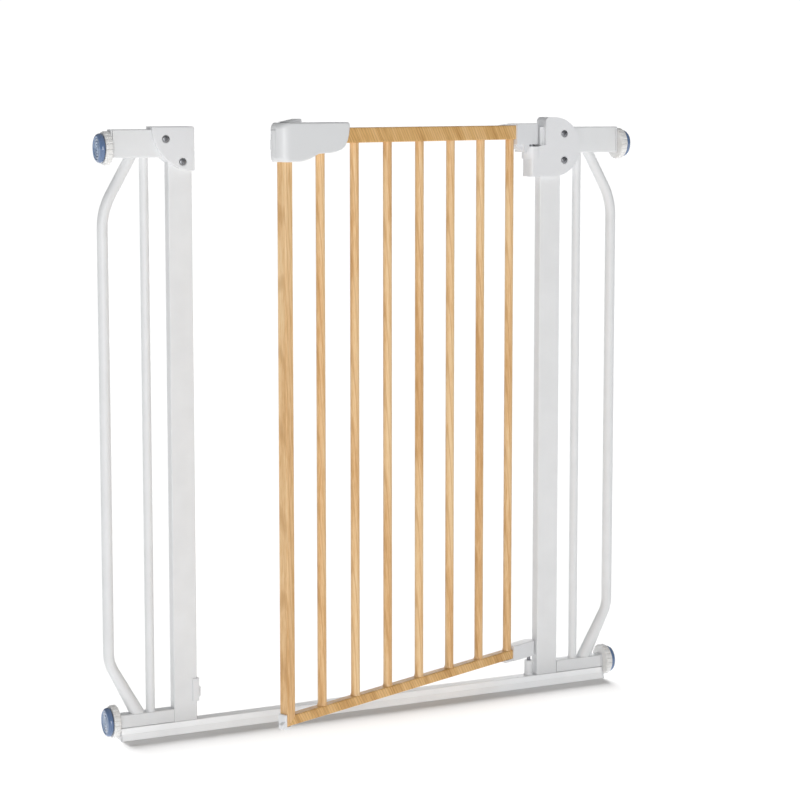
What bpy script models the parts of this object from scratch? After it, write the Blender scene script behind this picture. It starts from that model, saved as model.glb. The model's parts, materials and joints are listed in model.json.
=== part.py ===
"""Pressure-fit safety gate: a steel frame held between two walls, with a wood-look door on its right post.

Metres, +Z up.  The origin is on the floor in the middle of the doorway.  X runs along the gate, the
door hangs on the +X post and opens towards -Y.  Door pieces are made with the door shut, in the frame
of the "door_axis" empty on the hinge axis, which then turns them to the open position.
"""
import math

import bmesh
import bpy
from mathutils import Vector

# ---- driving dimensions ----------------------------------------------------------------------
GAP = 0.0003                      # left between pieces that touch
RUN = 0.0004                      # left around pieces that slide or turn
TUBE_WALL = 0.0012

POST_GAP = 0.488                  # clear width between the two posts
POST_WIDTH = 0.0306
POST_DEPTH = 0.015
RAIL_TOP = 0.755                  # top of the frame above the floor
TOP_RAIL_HEIGHT = 0.0342
BOTTOM_RAIL_HEIGHT = 0.0165
RAIL_REACH = 0.0699               # how far the side rails stand out from the posts
HINGE_RAIL_EXTRA = 0.0150         # the top rail on the hinge side is longer by this
SIDE_TUBE_DIAMETER = 0.0112
SIDE_TUBE_OFFSET = 0.0289         # post side to the axis of the straight tube
BENT_TUBE_DIAMETER = 0.0135
BENT_TUBE_OFFSET = 0.0822         # post side to the axis of the bent tube's upright stretch
BENT_END_OFFSET = 0.0465          # post side to where the bent tube meets its rails
BENT_CORNER_DROP = 0.0975         # top of the rail to the upper bend's corner
BENT_CORNER_RISE = 0.0980         # floor to the lower bend's corner
UPPER_BEND_RADIUS = 0.085
LOWER_BEND_RADIUS = 0.045

THRESHOLD_HEIGHT = 0.0145
THRESHOLD_TOP_DEPTH = 0.016
THRESHOLD_KNEE_DEPTH = 0.0200
THRESHOLD_KNEE_HEIGHT = 0.0072
THRESHOLD_FOOT_DEPTH = 0.0280
THRESHOLD_WALL = 0.0015
CAP_THICKNESS = 0.0024
CAP_PLUG_LENGTH = 0.008

SPINDLE_DIAMETER = 0.009
SPINDLE_LENGTH = 0.054
TOP_SPINDLE_RISE = 0.0117         # axis above the underside of the top rail
WHEEL_DIAMETER = 0.041
WHEEL_WIDTH = 0.009
WHEEL_RIBS = 20
RIB_DEPTH = 0.0009
PLUG_LENGTH = 0.012
PLUG_FLANGE = 0.002
CUP_DIAMETER = 0.032
CUP_THICKNESS = 0.0017
PAD_DIAMETER = 0.036
PAD_THICKNESS = 0.0066

DOOR_ANGLE = math.radians(22.5)   # how far the door stands open
HINGE_INSET = 0.0087              # post face to the hinge axis
DOOR_GAP = 0.012                  # free stile to the latch post when shut
DOOR_BOTTOM = 0.0455
DOOR_RISE = 0.0025                # top of the door above the frame's rails
DOOR_DEPTH = 0.012
DOOR_TOP_RAIL_HEIGHT = 0.0183
DOOR_BOTTOM_RAIL_HEIGHT = 0.0122
STILE_WIDTH = 0.0126
STILE_DEPTH = 0.014
BAR_DIAMETER = 0.011
BAR_COUNT = 6
HINGE_BAR_REACH = 0.0467          # hinge axis to the axis of the first bar

KEEPER_RADIUS = 0.0545
KEEPER_HALF_DEPTH = 0.012
KEEPER_LAP = 0.0024               # how far the keeper stands past the post into the doorway
COVER_RISE = 0.0033               # top of the keeper above the rail
COVER_CORNER = 0.003              # cut off the covers' outer corners
KEEPER_SCREW_SPREAD = (0.0037, 0.0129)   # upper past the post's outer side, lower past its inner side
KEEPER_SCREW_DROPS = (0.0117, 0.0396)    # below the top of the rails
HINGE_COVER_HALF_DEPTH = 0.0125
HINGE_COVER_RADIUS = 0.039
HINGE_COVER_CENTRE = 0.0272       # hinge axis to the centre of the cover's round end
HINGE_COVER_TOP = 0.013           # above the frame's rails
HINGE_COVER_LIP = 0.0055          # post face to the cover's upper left edge
HINGE_SCREW_SPREAD = 0.0034       # past the post's outer side
HINGE_SCREW_DROPS = (0.0088, 0.0437)
BARREL_HALF_WIDTH = 0.0083
BARREL_DROP = 0.0325              # top of the rails to the low end of the barrel's sloping top
BARREL_SLOPE = 0.009              # how much the sloping top climbs towards the post
SCREW_HEAD_DIAMETER = 0.0086
SCREW_HEAD_HEIGHT = 0.0016
SCREW_SINK = 0.0012
SCREW_DIAMETER = 0.0036

ARM_RADIUS = 0.0082
ARM_DROP = 0.0227                 # top of the rails to the underside of the arm
ARM_TOP_LAP = 0.0024              # arm above the door's top rail
ARM_SOCKET = 0.010                # how far the top rail reaches into the arm
ARM_TONGUE = 0.022                # thin cover over the top rail
ARM_TONGUE_TIP = 0.0009
GUSSET_DROP = 0.0098              # the arm's lower lug beside the barrel
GUSSET_REACHES = (0.0145, 0.020, 0.026)
SOCKET_CLEAR = 0.030              # cutters reach past the piece by about this much
SIDE_INSET = 0.001                # small lugs stand in from their piece's sides by this
UPPER_PIN_DIAMETER = 0.007
UPPER_PIN_LENGTH = 0.052
LOWER_PIN_DIAMETER = 0.0048
SLEEVE_DIAMETER = 0.0113
SLEEVE_TOP = 0.035
LOWER_BRACKET_HALF_DEPTH = 0.0075
LOWER_BRACKET_DROP = 0.0035       # below the door's underside
LOWER_BRACKET_HEIGHT = 0.0205
LOWER_BRACKET_LIP = 0.0145
BRACKET_TONGUE = 0.018            # plug inside the door's bottom rail
PIN_COVER = 0.004                 # material left over the end of a pin
LOWER_PIN_RISE = 0.002            # end of the lower pin above the threshold

HANDLE_LENGTH = 0.115
HANDLE_END_LAP = 0.0081           # handle past the free stile
HANDLE_RISE = 0.0067              # handle above the door's top rail
HANDLE_HALF_DEPTH = 0.014
HANDLE_WALL = 0.0022
HANDLE_ROUND = 0.0035
BOLT_HEIGHT = 0.0115
BOLT_THICKNESS = 0.0024
BOLT_LENGTH = 0.050
BOLT_DROP = 0.022                 # top of the rails to the bolt's underside
BOLT_TRAVEL = 0.006
BOLT_WALL_GAP = 0.0012            # bolt to the inside of the handle
SLOT_EASE = 0.001
SLIDE_LENGTH = 0.0245
SLIDE_WIDTH = 0.014
SLIDE_START = 0.0765              # inner end of the handle to the thumb slide
SLIDE_HIGH = 0.0043
SLIDE_LOW = 0.0010
SLIDE_NOSE = 0.0035
LEG_START = 0.0835                # inner end of the handle to the leg that carries the bolt
LEG_WIDTH = 0.012
LEG_THICKNESS = 0.0022
HANDLE_DROP = 0.0457              # top of the handle to the foot of its deep end
DOOR_LIFT = 0.008

CLIP_WALL = 0.0018
CLIP_GRIP = 0.0067                # how far the clip reaches round the post
CLIP_DROP = 0.0068                # below the door's underside
CLIP_HEIGHT = 0.029
HOOK_DROP = 0.005
HOOK_HEIGHT = 0.013
HOOK_REACH = 0.0057
HOOK_FRONT = 0.001                # the hook is behind the middle plane, the door's nose before it
HOOK_BACK = 0.0075
CATCH_PLATE = 0.0038
CATCH_DROP = 0.0035
CATCH_RISE = 0.0145
CATCH_SLOPE = 0.002
NOSE_REACH = 0.0085               # lower catch past the free stile
NOSE_DEPTH = 0.0055
NOSE_HEIGHTS = (0.002, 0.0035, 0.0085, 0.0115)   # above the hook's underside

POST_IN = POST_GAP / 2
POST_OUT = POST_IN + POST_WIDTH
HINGE_X = POST_IN - HINGE_INSET
DOOR_REACH = POST_GAP - HINGE_INSET - DOOR_GAP
DOOR_TOP = RAIL_TOP + DOOR_RISE
STILE_REACH = DOOR_REACH - STILE_WIDTH / 2
RAIL_END = POST_OUT + RAIL_REACH
TOP_RAIL_BOTTOM = RAIL_TOP - TOP_RAIL_HEIGHT
BOTTOM_RAIL_BASE = THRESHOLD_HEIGHT + GAP
BOTTOM_RAIL_TOP = BOTTOM_RAIL_BASE + BOTTOM_RAIL_HEIGHT

ALONG_X = (math.pi / 2, 0, math.pi / 2)     # outline in Y and Z, depth along X
ALONG_Y = (math.pi / 2, 0, 0)               # outline in X and Z, depth along Y
ALONG_Z = (0, 0, 0)


# ---- scene, materials and modelling helpers --------------------------------------------------
for old in list(bpy.data.objects):
    bpy.data.objects.remove(old, do_unlink=True)

gate = bpy.data.collections.new("safety_gate")
cutters = bpy.data.collections.new("cutters")
bpy.context.scene.collection.children.link(gate)
bpy.context.scene.collection.children.link(cutters)


def material(name, colour, roughness, metallic=0.0):
    made = bpy.data.materials.new(name)
    made.use_nodes = True
    shader = made.node_tree.nodes["Principled BSDF"]
    shader.inputs["Base Color"].default_value = (*colour, 1.0)
    shader.inputs["Roughness"].default_value = roughness
    shader.inputs["Metallic"].default_value = metallic
    return made


WHITE_PAINT = material("white_powder_coat", (0.80, 0.80, 0.80), 0.45)
OAK_FILM = material("oak_film_on_steel", (0.62, 0.42, 0.22), 0.5)
WHITE_PLASTIC = material("white_plastic", (0.78, 0.78, 0.79), 0.4)
GREY_PLASTIC = material("pale_grey_plastic", (0.65, 0.65, 0.67), 0.4)
PAD_RUBBER = material("blue_grey_rubber", (0.20, 0.27, 0.38), 0.35)
STEEL = material("zinc_plated_steel", (0.45, 0.45, 0.46), 0.35, 1.0)

door_axis = bpy.data.objects.new("door_axis", None)
door_axis.location = (HINGE_X, 0, 0)
door_axis.rotation_euler = (0, 0, DOOR_ANGLE)
gate.objects.link(door_axis)


def finish(name, mesh, surface, location=(0, 0, 0), rotation=(0, 0, 0), parent=None):
    """Makes the mesh a named object of the gate, with its material."""
    made = bpy.data.objects.new(name, mesh)
    made.location = location
    made.rotation_euler = rotation
    made.parent = parent
    if surface is None:
        cutters.objects.link(made)
        made.hide_render = True
        made.display_type = "WIRE"
        return made
    mesh.materials.append(surface)
    gate.objects.link(made)
    return made


def smooth(thing, angle=40):
    thing.data.shade_smooth()
    thing.data.set_sharp_from_angle(angle=math.radians(angle))
    return thing


def as_mesh(name, curve):
    """The curve's evaluated surface as one welded mesh."""
    guide = bpy.data.objects.new(name + "_guide", curve)
    bpy.context.scene.collection.objects.link(guide)
    depsgraph = bpy.context.evaluated_depsgraph_get()
    mesh = bpy.data.meshes.new_from_object(guide.evaluated_get(depsgraph))
    bpy.data.objects.remove(guide, do_unlink=True)
    welded = bmesh.new()
    welded.from_mesh(mesh)
    bmesh.ops.remove_doubles(welded, verts=welded.verts, dist=0.00001)
    bmesh.ops.recalc_face_normals(welded, faces=welded.faces)
    welded.to_mesh(mesh)
    welded.free()
    mesh.name = name
    return mesh


def prism(name, outline, depth, surface, location=(0, 0, 0), rotation=ALONG_Y, parent=None, holes=()):
    """A flat outline given a depth.  A point with a third value of "round" is on a smooth stretch."""
    curve = bpy.data.curves.new(name, "CURVE")
    curve.dimensions = "2D"
    curve.fill_mode = "BOTH"
    curve.extrude = depth / 2
    curve.resolution_u = 4
    for ring in (outline, *holes):
        spline = curve.splines.new("BEZIER")
        spline.bezier_points.add(len(ring) - 1)
        spline.use_cyclic_u = True
        for point, values in zip(spline.bezier_points, ring):
            kind = "AUTO" if len(values) > 2 else "VECTOR"
            point.co = (values[0], values[1], 0)
            point.handle_left_type = kind
            point.handle_right_type = kind
    mesh = as_mesh(name, curve)
    straight = bmesh.new()
    straight.from_mesh(mesh)
    bmesh.ops.dissolve_limit(
        straight, angle_limit=math.radians(0.5), verts=straight.verts, edges=straight.edges
    )
    straight.to_mesh(mesh)
    straight.free()
    return finish(name, mesh, surface, location, rotation, parent)


def rectangle(width, height, centre=(0, 0)):
    return [
        (centre[0] + sx * width / 2, centre[1] + sy * height / 2)
        for sx, sy in ((-1, -1), (1, -1), (1, 1), (-1, 1))
    ]


def arc(centre, radius, start, end, steps):
    """Points on an arc, with its angles in degrees."""
    points = []
    for step in range(steps + 1):
        angle = math.radians(start + (end - start) * step / steps)
        points.append((centre[0] + radius * math.cos(angle), centre[1] + radius * math.sin(angle)))
    return points


def box(name, low, high, surface=None, parent=None):
    """A block between two corners; without a material it is a cutter."""
    size = Vector(high) - Vector(low)
    mesh = bpy.data.meshes.new(name)
    solid = bmesh.new()
    bmesh.ops.create_cube(solid, size=1.0)
    bmesh.ops.scale(solid, vec=size, verts=solid.verts)
    solid.to_mesh(mesh)
    solid.free()
    return finish(name, mesh, surface, (Vector(low) + Vector(high)) / 2, parent=parent)


def rod(name, diameter, start, end, surface=None, parent=None, sides=16):
    """A solid cylinder between two points; without a material it is a cutter."""
    line = Vector(end) - Vector(start)
    mesh = bpy.data.meshes.new(name)
    solid = bmesh.new()
    bmesh.ops.create_cone(
        solid,
        cap_ends=True,
        segments=sides,
        radius1=diameter / 2,
        radius2=diameter / 2,
        depth=line.length,
    )
    solid.to_mesh(mesh)
    solid.free()
    turn = line.to_track_quat("Z", "Y").to_euler()
    made = finish(name, mesh, surface, (Vector(start) + Vector(end)) / 2, turn, parent)
    return smooth(made)


def cut(thing, *tools):
    for tool in tools:
        boolean = thing.modifiers.new("cut_" + tool.name, "BOOLEAN")
        boolean.operation = "DIFFERENCE"
        boolean.object = tool
    return thing


def join(thing, *extras):
    for extra in extras:
        boolean = thing.modifiers.new("join_" + extra.name, "BOOLEAN")
        boolean.operation = "UNION"
        boolean.object = extra
    return thing


def round_front(thing, width, steps, level):
    """Rounds the edges of the face at the given height of the outline's depth axis."""
    mesh = bmesh.new()
    mesh.from_mesh(thing.data)
    edges = [
        edge
        for edge in mesh.edges
        if all(abs(vert.co.z - level) < GAP / 2 for vert in edge.verts) and not edge.is_boundary
        and any(abs(face.normal.z) < 0.5 for face in edge.link_faces)
    ]
    bmesh.ops.bevel(
        mesh,
        geom=edges,
        offset=width,
        offset_type="OFFSET",
        segments=steps,
        profile=0.5,
        affect="EDGES",
        material=-1,
        clamp_overlap=True,
    )
    mesh.to_mesh(thing.data)
    mesh.free()
    return smooth(thing)


def pipe(name, points, diameter, wall, surface, parent=None, resolution=6):
    """A round tube with open ends, along a route of points."""
    curve = bpy.data.curves.new(name, "CURVE")
    curve.dimensions = "3D"
    curve.bevel_depth = diameter / 2
    curve.bevel_resolution = resolution
    curve.use_fill_caps = False
    spline = curve.splines.new("POLY")
    spline.points.add(len(points) - 1)
    for point, place in zip(spline.points, points):
        point.co = (*place, 1)
    mesh = as_mesh(name, curve)
    made = finish(name, mesh, surface, parent=parent)
    shell = made.modifiers.new("wall", "SOLIDIFY")
    shell.thickness = wall
    shell.offset = -1
    shell.use_even_offset = True
    return smooth(made)


def turned(name, profile, surface, location, rotation, parent=None, steps=24):
    """A turned piece: the profile runs down its outer side, from the top to the bottom."""
    mesh = bpy.data.meshes.new(name)
    line = bmesh.new()
    verts = [line.verts.new((radius, 0, height)) for radius, height in profile]
    for first, second in zip(verts, verts[1:]):
        line.edges.new((first, second))
    line.to_mesh(mesh)
    line.free()
    made = finish(name, mesh, surface, location, rotation, parent)
    lathe = made.modifiers.new("lathe", "SCREW")
    lathe.steps = steps
    lathe.render_steps = steps
    lathe.use_merge_vertices = True
    lathe.merge_threshold = 0.00001
    return made


def box_tube(name, width, height, length, surface, location, rotation, parent=None, wall=TUBE_WALL):
    """A rectangular tube with open ends."""
    return prism(
        name,
        rectangle(width, height),
        length,
        surface,
        location,
        rotation,
        parent,
        holes=(rectangle(width - 2 * wall, height - 2 * wall),),
    )


# ---- threshold bar with its end caps ---------------------------------------------------------
def threshold_outline(inset):
    """Outer profile of the threshold bar, or its hollow when inset by the wall."""
    foot = THRESHOLD_FOOT_DEPTH / 2 - 1.7 * inset
    knee = THRESHOLD_KNEE_DEPTH / 2 - inset
    top = THRESHOLD_TOP_DEPTH / 2 - inset
    half = [(foot, inset), (knee, THRESHOLD_KNEE_HEIGHT), (top, THRESHOLD_HEIGHT - inset)]
    return half + [(-y, z) for y, z in reversed(half)]


THRESHOLD_HALF = RAIL_END - GAP
prism(
    "threshold_bar",
    threshold_outline(0),
    2 * THRESHOLD_HALF,
    WHITE_PAINT,
    rotation=ALONG_X,
    holes=(threshold_outline(THRESHOLD_WALL),),
)
for side, way in (("left", -1), ("right", 1)):
    cap = prism(
        "threshold_cap_" + side,
        threshold_outline(0),
        CAP_THICKNESS,
        WHITE_PLASTIC,
        (way * (THRESHOLD_HALF + GAP + CAP_THICKNESS / 2), 0, 0),
        ALONG_X,
    )
    plug = prism(
        "threshold_cap_plug_" + side,
        threshold_outline(THRESHOLD_WALL + GAP),
        CAP_PLUG_LENGTH,
        None,
        (way * (THRESHOLD_HALF + CAP_THICKNESS / 2 - CAP_PLUG_LENGTH / 2), 0, 0),
        ALONG_X,
    )
    join(cap, plug)


# ---- posts, rails and side tubes -------------------------------------------------------------
def rounded_corner(before, corner, after, radius, steps=5):
    """Points of a bend of the given radius in place of a corner in the XZ plane."""
    first = (Vector(before) - Vector(corner)).normalized()
    second = (Vector(after) - Vector(corner)).normalized()
    half_angle = first.angle(second) / 2
    tangent = radius / math.tan(half_angle)
    centre = Vector(corner) + (first + second).normalized() * radius / math.sin(half_angle)
    start = (Vector(corner) + first * tangent - centre).normalized()
    end = (Vector(corner) + second * tangent - centre).normalized()
    return [centre + radius * start.slerp(end, step / steps) for step in range(steps + 1)]


def bent_tube(side, way):
    """The outer side tube: upright, leaning in at both ends to meet the rails."""
    lean_x = way * (POST_OUT + BENT_END_OFFSET)
    upright_x = way * (POST_OUT + BENT_TUBE_OFFSET)
    top = Vector((lean_x, 0, TOP_RAIL_BOTTOM))
    bottom = Vector((lean_x, 0, BOTTOM_RAIL_TOP))
    upper = Vector((upright_x, 0, RAIL_TOP - BENT_CORNER_DROP))
    lower = Vector((upright_x, 0, BENT_CORNER_RISE))
    overrun = BENT_TUBE_DIAMETER
    route = [top + (top - upper).normalized() * overrun]
    route += rounded_corner(top, upper, lower, UPPER_BEND_RADIUS)
    route += rounded_corner(upper, lower, bottom, LOWER_BEND_RADIUS)
    route.append(bottom + (bottom - lower).normalized() * overrun)
    tube = pipe("bent_tube_" + side, route, BENT_TUBE_DIAMETER, TUBE_WALL, WHITE_PAINT, resolution=4)
    reach = 2 * BENT_TUBE_DIAMETER
    over = box(
        "bent_trim_top_" + side,
        (lean_x - reach, -reach, top.z - GAP),
        (lean_x + reach, reach, top.z + reach),
    )
    under = box(
        "bent_trim_bottom_" + side,
        (lean_x - reach, -reach, bottom.z - reach),
        (lean_x + reach, reach, bottom.z + GAP),
    )
    cut(tube, over, under)


for side, way in (("left", -1), ("right", 1)):
    post_height = RAIL_TOP - BOTTOM_RAIL_BASE
    box_tube(
        "post_" + side,
        POST_WIDTH,
        POST_DEPTH,
        post_height,
        WHITE_PAINT,
        (way * (POST_IN + POST_WIDTH / 2), 0, BOTTOM_RAIL_BASE + post_height / 2),
        ALONG_Z,
    )
    top_end = RAIL_END + (HINGE_RAIL_EXTRA if way > 0 else 0)
    for level, height, base, end in (
        ("top", TOP_RAIL_HEIGHT, TOP_RAIL_BOTTOM, top_end),
        ("bottom", BOTTOM_RAIL_HEIGHT, BOTTOM_RAIL_BASE, RAIL_END),
    ):
        start = POST_OUT + GAP
        box_tube(
            level + "_rail_" + side,
            POST_DEPTH,
            height,
            end - start,
            WHITE_PAINT,
            (way * (start + end) / 2, 0, base + height / 2),
            ALONG_X,
        )
    straight_x = way * (POST_OUT + SIDE_TUBE_OFFSET)
    straight_ends = [(straight_x, 0, BOTTOM_RAIL_TOP + GAP), (straight_x, 0, TOP_RAIL_BOTTOM - GAP)]
    pipe("straight_tube_" + side, straight_ends, SIDE_TUBE_DIAMETER, TUBE_WALL, WHITE_PAINT)
    bent_tube(side, way)


# ---- pressure mounts: plug in the rail, handwheel, spindle and wall pad ----------------------
SPINDLE_HOLE = SPINDLE_DIAMETER + 2 * RUN
WHEEL_START = GAP + PLUG_FLANGE + GAP
CUP_START = WHEEL_START + WHEEL_WIDTH + GAP


def wheel_outline():
    points = []
    for step in range(2 * WHEEL_RIBS):
        angle = math.pi * step / WHEEL_RIBS
        radius = WHEEL_DIAMETER / 2 - (RIB_DEPTH if step % 2 else 0)
        points.append((radius * math.cos(angle), radius * math.sin(angle)))
    return points


def circle(diameter, steps=24):
    return arc((0, 0), diameter / 2, 0, 360, steps)[:-1]


def pressure_mount(where, way, rail_end, rail_height, axis_above_base, base):
    """One corner's mount, built outwards from the rail's open end."""
    axis_z = base + axis_above_base
    inner_height = rail_height - 2 * (TUBE_WALL + GAP)
    inner_depth = POST_DEPTH - 2 * (TUBE_WALL + GAP)
    drop = axis_above_base - rail_height / 2
    plug = prism(
        "rail_plug_" + where,
        rectangle(inner_depth, inner_height, (0, -drop)),
        PLUG_LENGTH,
        WHITE_PLASTIC,
        (way * (rail_end + GAP - PLUG_LENGTH / 2), 0, axis_z),
        ALONG_X,
        holes=(circle(SPINDLE_HOLE, 16),),
    )
    flange = prism(
        "rail_plug_flange_" + where,
        rectangle(POST_DEPTH, rail_height, (0, -drop)),
        PLUG_FLANGE,
        None,
        (way * (rail_end + GAP + PLUG_FLANGE / 2), 0, axis_z),
        ALONG_X,
        holes=(circle(SPINDLE_HOLE, 16),),
    )
    join(plug, flange)
    smooth(
        prism(
            "handwheel_" + where,
            wheel_outline(),
            WHEEL_WIDTH,
            WHITE_PLASTIC,
            (way * (rail_end + WHEEL_START + WHEEL_WIDTH / 2), 0, axis_z),
            ALONG_X,
            holes=(circle(SPINDLE_HOLE, 16),),
        )
    )
    outwards = (0, way * math.pi / 2, 0)
    place = (way * (rail_end + CUP_START), 0, axis_z)
    shaft = SPINDLE_DIAMETER / 2
    spindle = [
        (0, CUP_THICKNESS),
        (CUP_DIAMETER / 2, CUP_THICKNESS),
        (CUP_DIAMETER / 2, 0),
        (shaft, 0),
        (shaft, -SPINDLE_LENGTH),
        (0, -SPINDLE_LENGTH),
    ]
    smooth(turned("spindle_" + where, spindle, STEEL, place, outwards, steps=16))
    rim = PAD_DIAMETER / 2
    hollow = CUP_DIAMETER / 2 + GAP
    pad = [
        (0, PAD_THICKNESS),
        (0.78 * rim, PAD_THICKNESS),
        (0.94 * rim, 0.88 * PAD_THICKNESS),
        (rim, 0.6 * PAD_THICKNESS),
        (rim, 0),
        (hollow, 0),
        (hollow, CUP_THICKNESS + GAP),
        (0, CUP_THICKNESS + GAP),
    ]
    smooth(turned("wall_pad_" + where, pad, PAD_RUBBER, place, outwards))


for side, way in (("left", -1), ("right", 1)):
    top_end = RAIL_END + (HINGE_RAIL_EXTRA if way > 0 else 0)
    pressure_mount("top_" + side, way, top_end, TOP_RAIL_HEIGHT, TOP_SPINDLE_RISE, TOP_RAIL_BOTTOM)
    pressure_mount(
        "bottom_" + side,
        way,
        RAIL_END,
        BOTTOM_RAIL_HEIGHT,
        BOTTOM_RAIL_HEIGHT / 2,
        BOTTOM_RAIL_BASE,
    )


# ---- cover pairs at the top of the posts, with their screws ----------------------------------
def screw(name, place, half_depth):
    """Pan-head screw from the front cover through to the back cover."""
    head = SCREW_HEAD_DIAMETER / 2
    shank = SCREW_DIAMETER / 2
    length = 2 * half_depth - 2 * SCREW_SINK
    profile = [
        (0, SCREW_HEAD_HEIGHT),
        (0.6 * head, 0.85 * SCREW_HEAD_HEIGHT),
        (head, 0.4 * SCREW_HEAD_HEIGHT),
        (head, 0),
        (shank, 0),
        (shank, -length),
        (0, -length),
    ]
    seat = (place[0], -half_depth + SCREW_SINK - GAP, place[1])
    smooth(turned(name, profile, STEEL, seat, ALONG_Y, steps=16))


def screw_cutters(name, place, half_depth):
    """The clear hole right through, and the sink for the head."""
    clear = 2 * half_depth
    through = rod(
        name + "_hole",
        SCREW_DIAMETER + 2 * GAP,
        (place[0], -clear, place[1]),
        (place[0], clear, place[1]),
        sides=12,
    )
    sink = rod(
        name + "_sink",
        SCREW_HEAD_DIAMETER + 2 * GAP,
        (place[0], -clear, place[1]),
        (place[0], -half_depth + SCREW_SINK, place[1]),
    )
    return through, sink


def cover_pair(name, outline, half_depth, surface, round_width, tools):
    """Front and back shells that meet on the middle plane and close round the steel."""
    for face, way in (("front", -1), ("back", 1)):
        depth = half_depth - GAP / 2
        shell = prism(
            name + "_" + face,
            outline,
            depth,
            surface,
            (0, way * (GAP / 2 + depth / 2), 0),
            ALONG_Y,
        )
        round_front(shell, round_width, 2, -way * depth / 2)
        cut(shell, *tools)


def steel_cutter(name, way, rail_end):
    """The room that a post and its top rail take up inside a cover pair."""
    half = POST_DEPTH / 2 + GAP
    inner = way * (POST_IN - GAP)
    outer = way * (POST_OUT + GAP)
    far = way * rail_end
    post_room = box(
        name + "_post_room",
        (min(inner, outer), -half, 0),
        (max(inner, outer), half, RAIL_TOP + GAP),
    )
    rail_room = box(
        name + "_rail_room",
        (min(inner, far), -half, TOP_RAIL_BOTTOM - GAP),
        (max(inner, far), half, RAIL_TOP + GAP),
    )
    return post_room, rail_room


KEEPER_EDGE = -(POST_IN - KEEPER_LAP)
KEEPER_TOP = RAIL_TOP + COVER_RISE
KEEPER_SCREWS = {
    "keeper_screw_upper": (-(POST_OUT + KEEPER_SCREW_SPREAD[0]), RAIL_TOP - KEEPER_SCREW_DROPS[0]),
    "keeper_screw_lower": (-(POST_IN + KEEPER_SCREW_SPREAD[1]), RAIL_TOP - KEEPER_SCREW_DROPS[1]),
}
keeper_outline = [
    (KEEPER_EDGE, KEEPER_TOP - COVER_CORNER),
    (KEEPER_EDGE - COVER_CORNER, KEEPER_TOP),
    *arc((KEEPER_EDGE, KEEPER_TOP), KEEPER_RADIUS, 180, 267, 9),
    (KEEPER_EDGE, KEEPER_TOP - KEEPER_RADIUS + COVER_CORNER),
]
BOLT_BASE = RAIL_TOP - BOLT_DROP
BOLT_FACE = HANDLE_HALF_DEPTH - HANDLE_WALL - BOLT_WALL_GAP     # from the middle plane
BOLT_LIFTED_TOP = BOLT_BASE + BOLT_HEIGHT + DOOR_LIFT
keeper_slot = box(
    "keeper_slot",
    (KEEPER_EDGE - BOLT_TRAVEL - RUN, BOLT_FACE - BOLT_THICKNESS - RUN, BOLT_BASE - SLOT_EASE),
    (KEEPER_EDGE + SLOT_EASE, BOLT_FACE + RUN, BOLT_LIFTED_TOP + SLOT_EASE),
)
keeper_tools = [*steel_cutter("keeper", -1, RAIL_END), keeper_slot]
for name, place in KEEPER_SCREWS.items():
    screw(name, place, KEEPER_HALF_DEPTH)
    keeper_tools += screw_cutters(name, place, KEEPER_HALF_DEPTH)
cover_pair("keeper_cover", keeper_outline, KEEPER_HALF_DEPTH, WHITE_PLASTIC, 0.001, keeper_tools)

cover_mid = (HINGE_X + HINGE_COVER_CENTRE, RAIL_TOP + HINGE_COVER_TOP - HINGE_COVER_RADIUS)
cover_left = POST_IN + HINGE_COVER_LIP
barrel_left = HINGE_X - BARREL_HALF_WIDTH
barrel_top = RAIL_TOP - BARREL_DROP
hinge_outline = [
    (barrel_left, cover_mid[1] - HINGE_COVER_RADIUS),
    *arc(cover_mid, HINGE_COVER_RADIUS, -90, 90, 14),
    (cover_left + COVER_CORNER, RAIL_TOP + HINGE_COVER_TOP),
    (cover_left, RAIL_TOP + HINGE_COVER_TOP - COVER_CORNER),
    (cover_left, barrel_top + BARREL_SLOPE),
    (HINGE_X + BARREL_HALF_WIDTH, barrel_top + BARREL_SLOPE),
    (barrel_left, barrel_top),
]
HINGE_SCREWS = {
    "hinge_screw_upper": (POST_OUT + HINGE_SCREW_SPREAD, RAIL_TOP - HINGE_SCREW_DROPS[0]),
    "hinge_screw_lower": (POST_OUT + HINGE_SCREW_SPREAD, RAIL_TOP - HINGE_SCREW_DROPS[1]),
}
pin_bore = rod(
    "upper_pin_bore",
    UPPER_PIN_DIAMETER + 2 * RUN,
    (HINGE_X, 0, RAIL_TOP - 2 * HINGE_COVER_RADIUS),
    (HINGE_X, 0, RAIL_TOP),
)
straight_room = box(
    "hinge_straight_tube_room",
    (
        POST_OUT + SIDE_TUBE_OFFSET - SIDE_TUBE_DIAMETER / 2 - GAP,
        -SIDE_TUBE_DIAMETER / 2 - GAP,
        TOP_RAIL_BOTTOM - HINGE_COVER_RADIUS,
    ),
    (RAIL_END, SIDE_TUBE_DIAMETER / 2 + GAP, TOP_RAIL_BOTTOM),
)
hinge_tools = [*steel_cutter("hinge", 1, RAIL_END), pin_bore, straight_room]
for name, place in HINGE_SCREWS.items():
    screw(name, place, HINGE_COVER_HALF_DEPTH)
    hinge_tools += screw_cutters(name, place, HINGE_COVER_HALF_DEPTH)
cover_pair("hinge_cover", hinge_outline, HINGE_COVER_HALF_DEPTH, WHITE_PLASTIC, 0.0012, hinge_tools)

for steel_name, screw_name in (
    ("top_rail_left", "keeper_screw_upper"),
    ("post_left", "keeper_screw_lower"),
    ("top_rail_right", "hinge_screw_upper"),
):
    cut(bpy.data.objects[steel_name], bpy.data.objects[screw_name + "_hole"])


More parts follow.
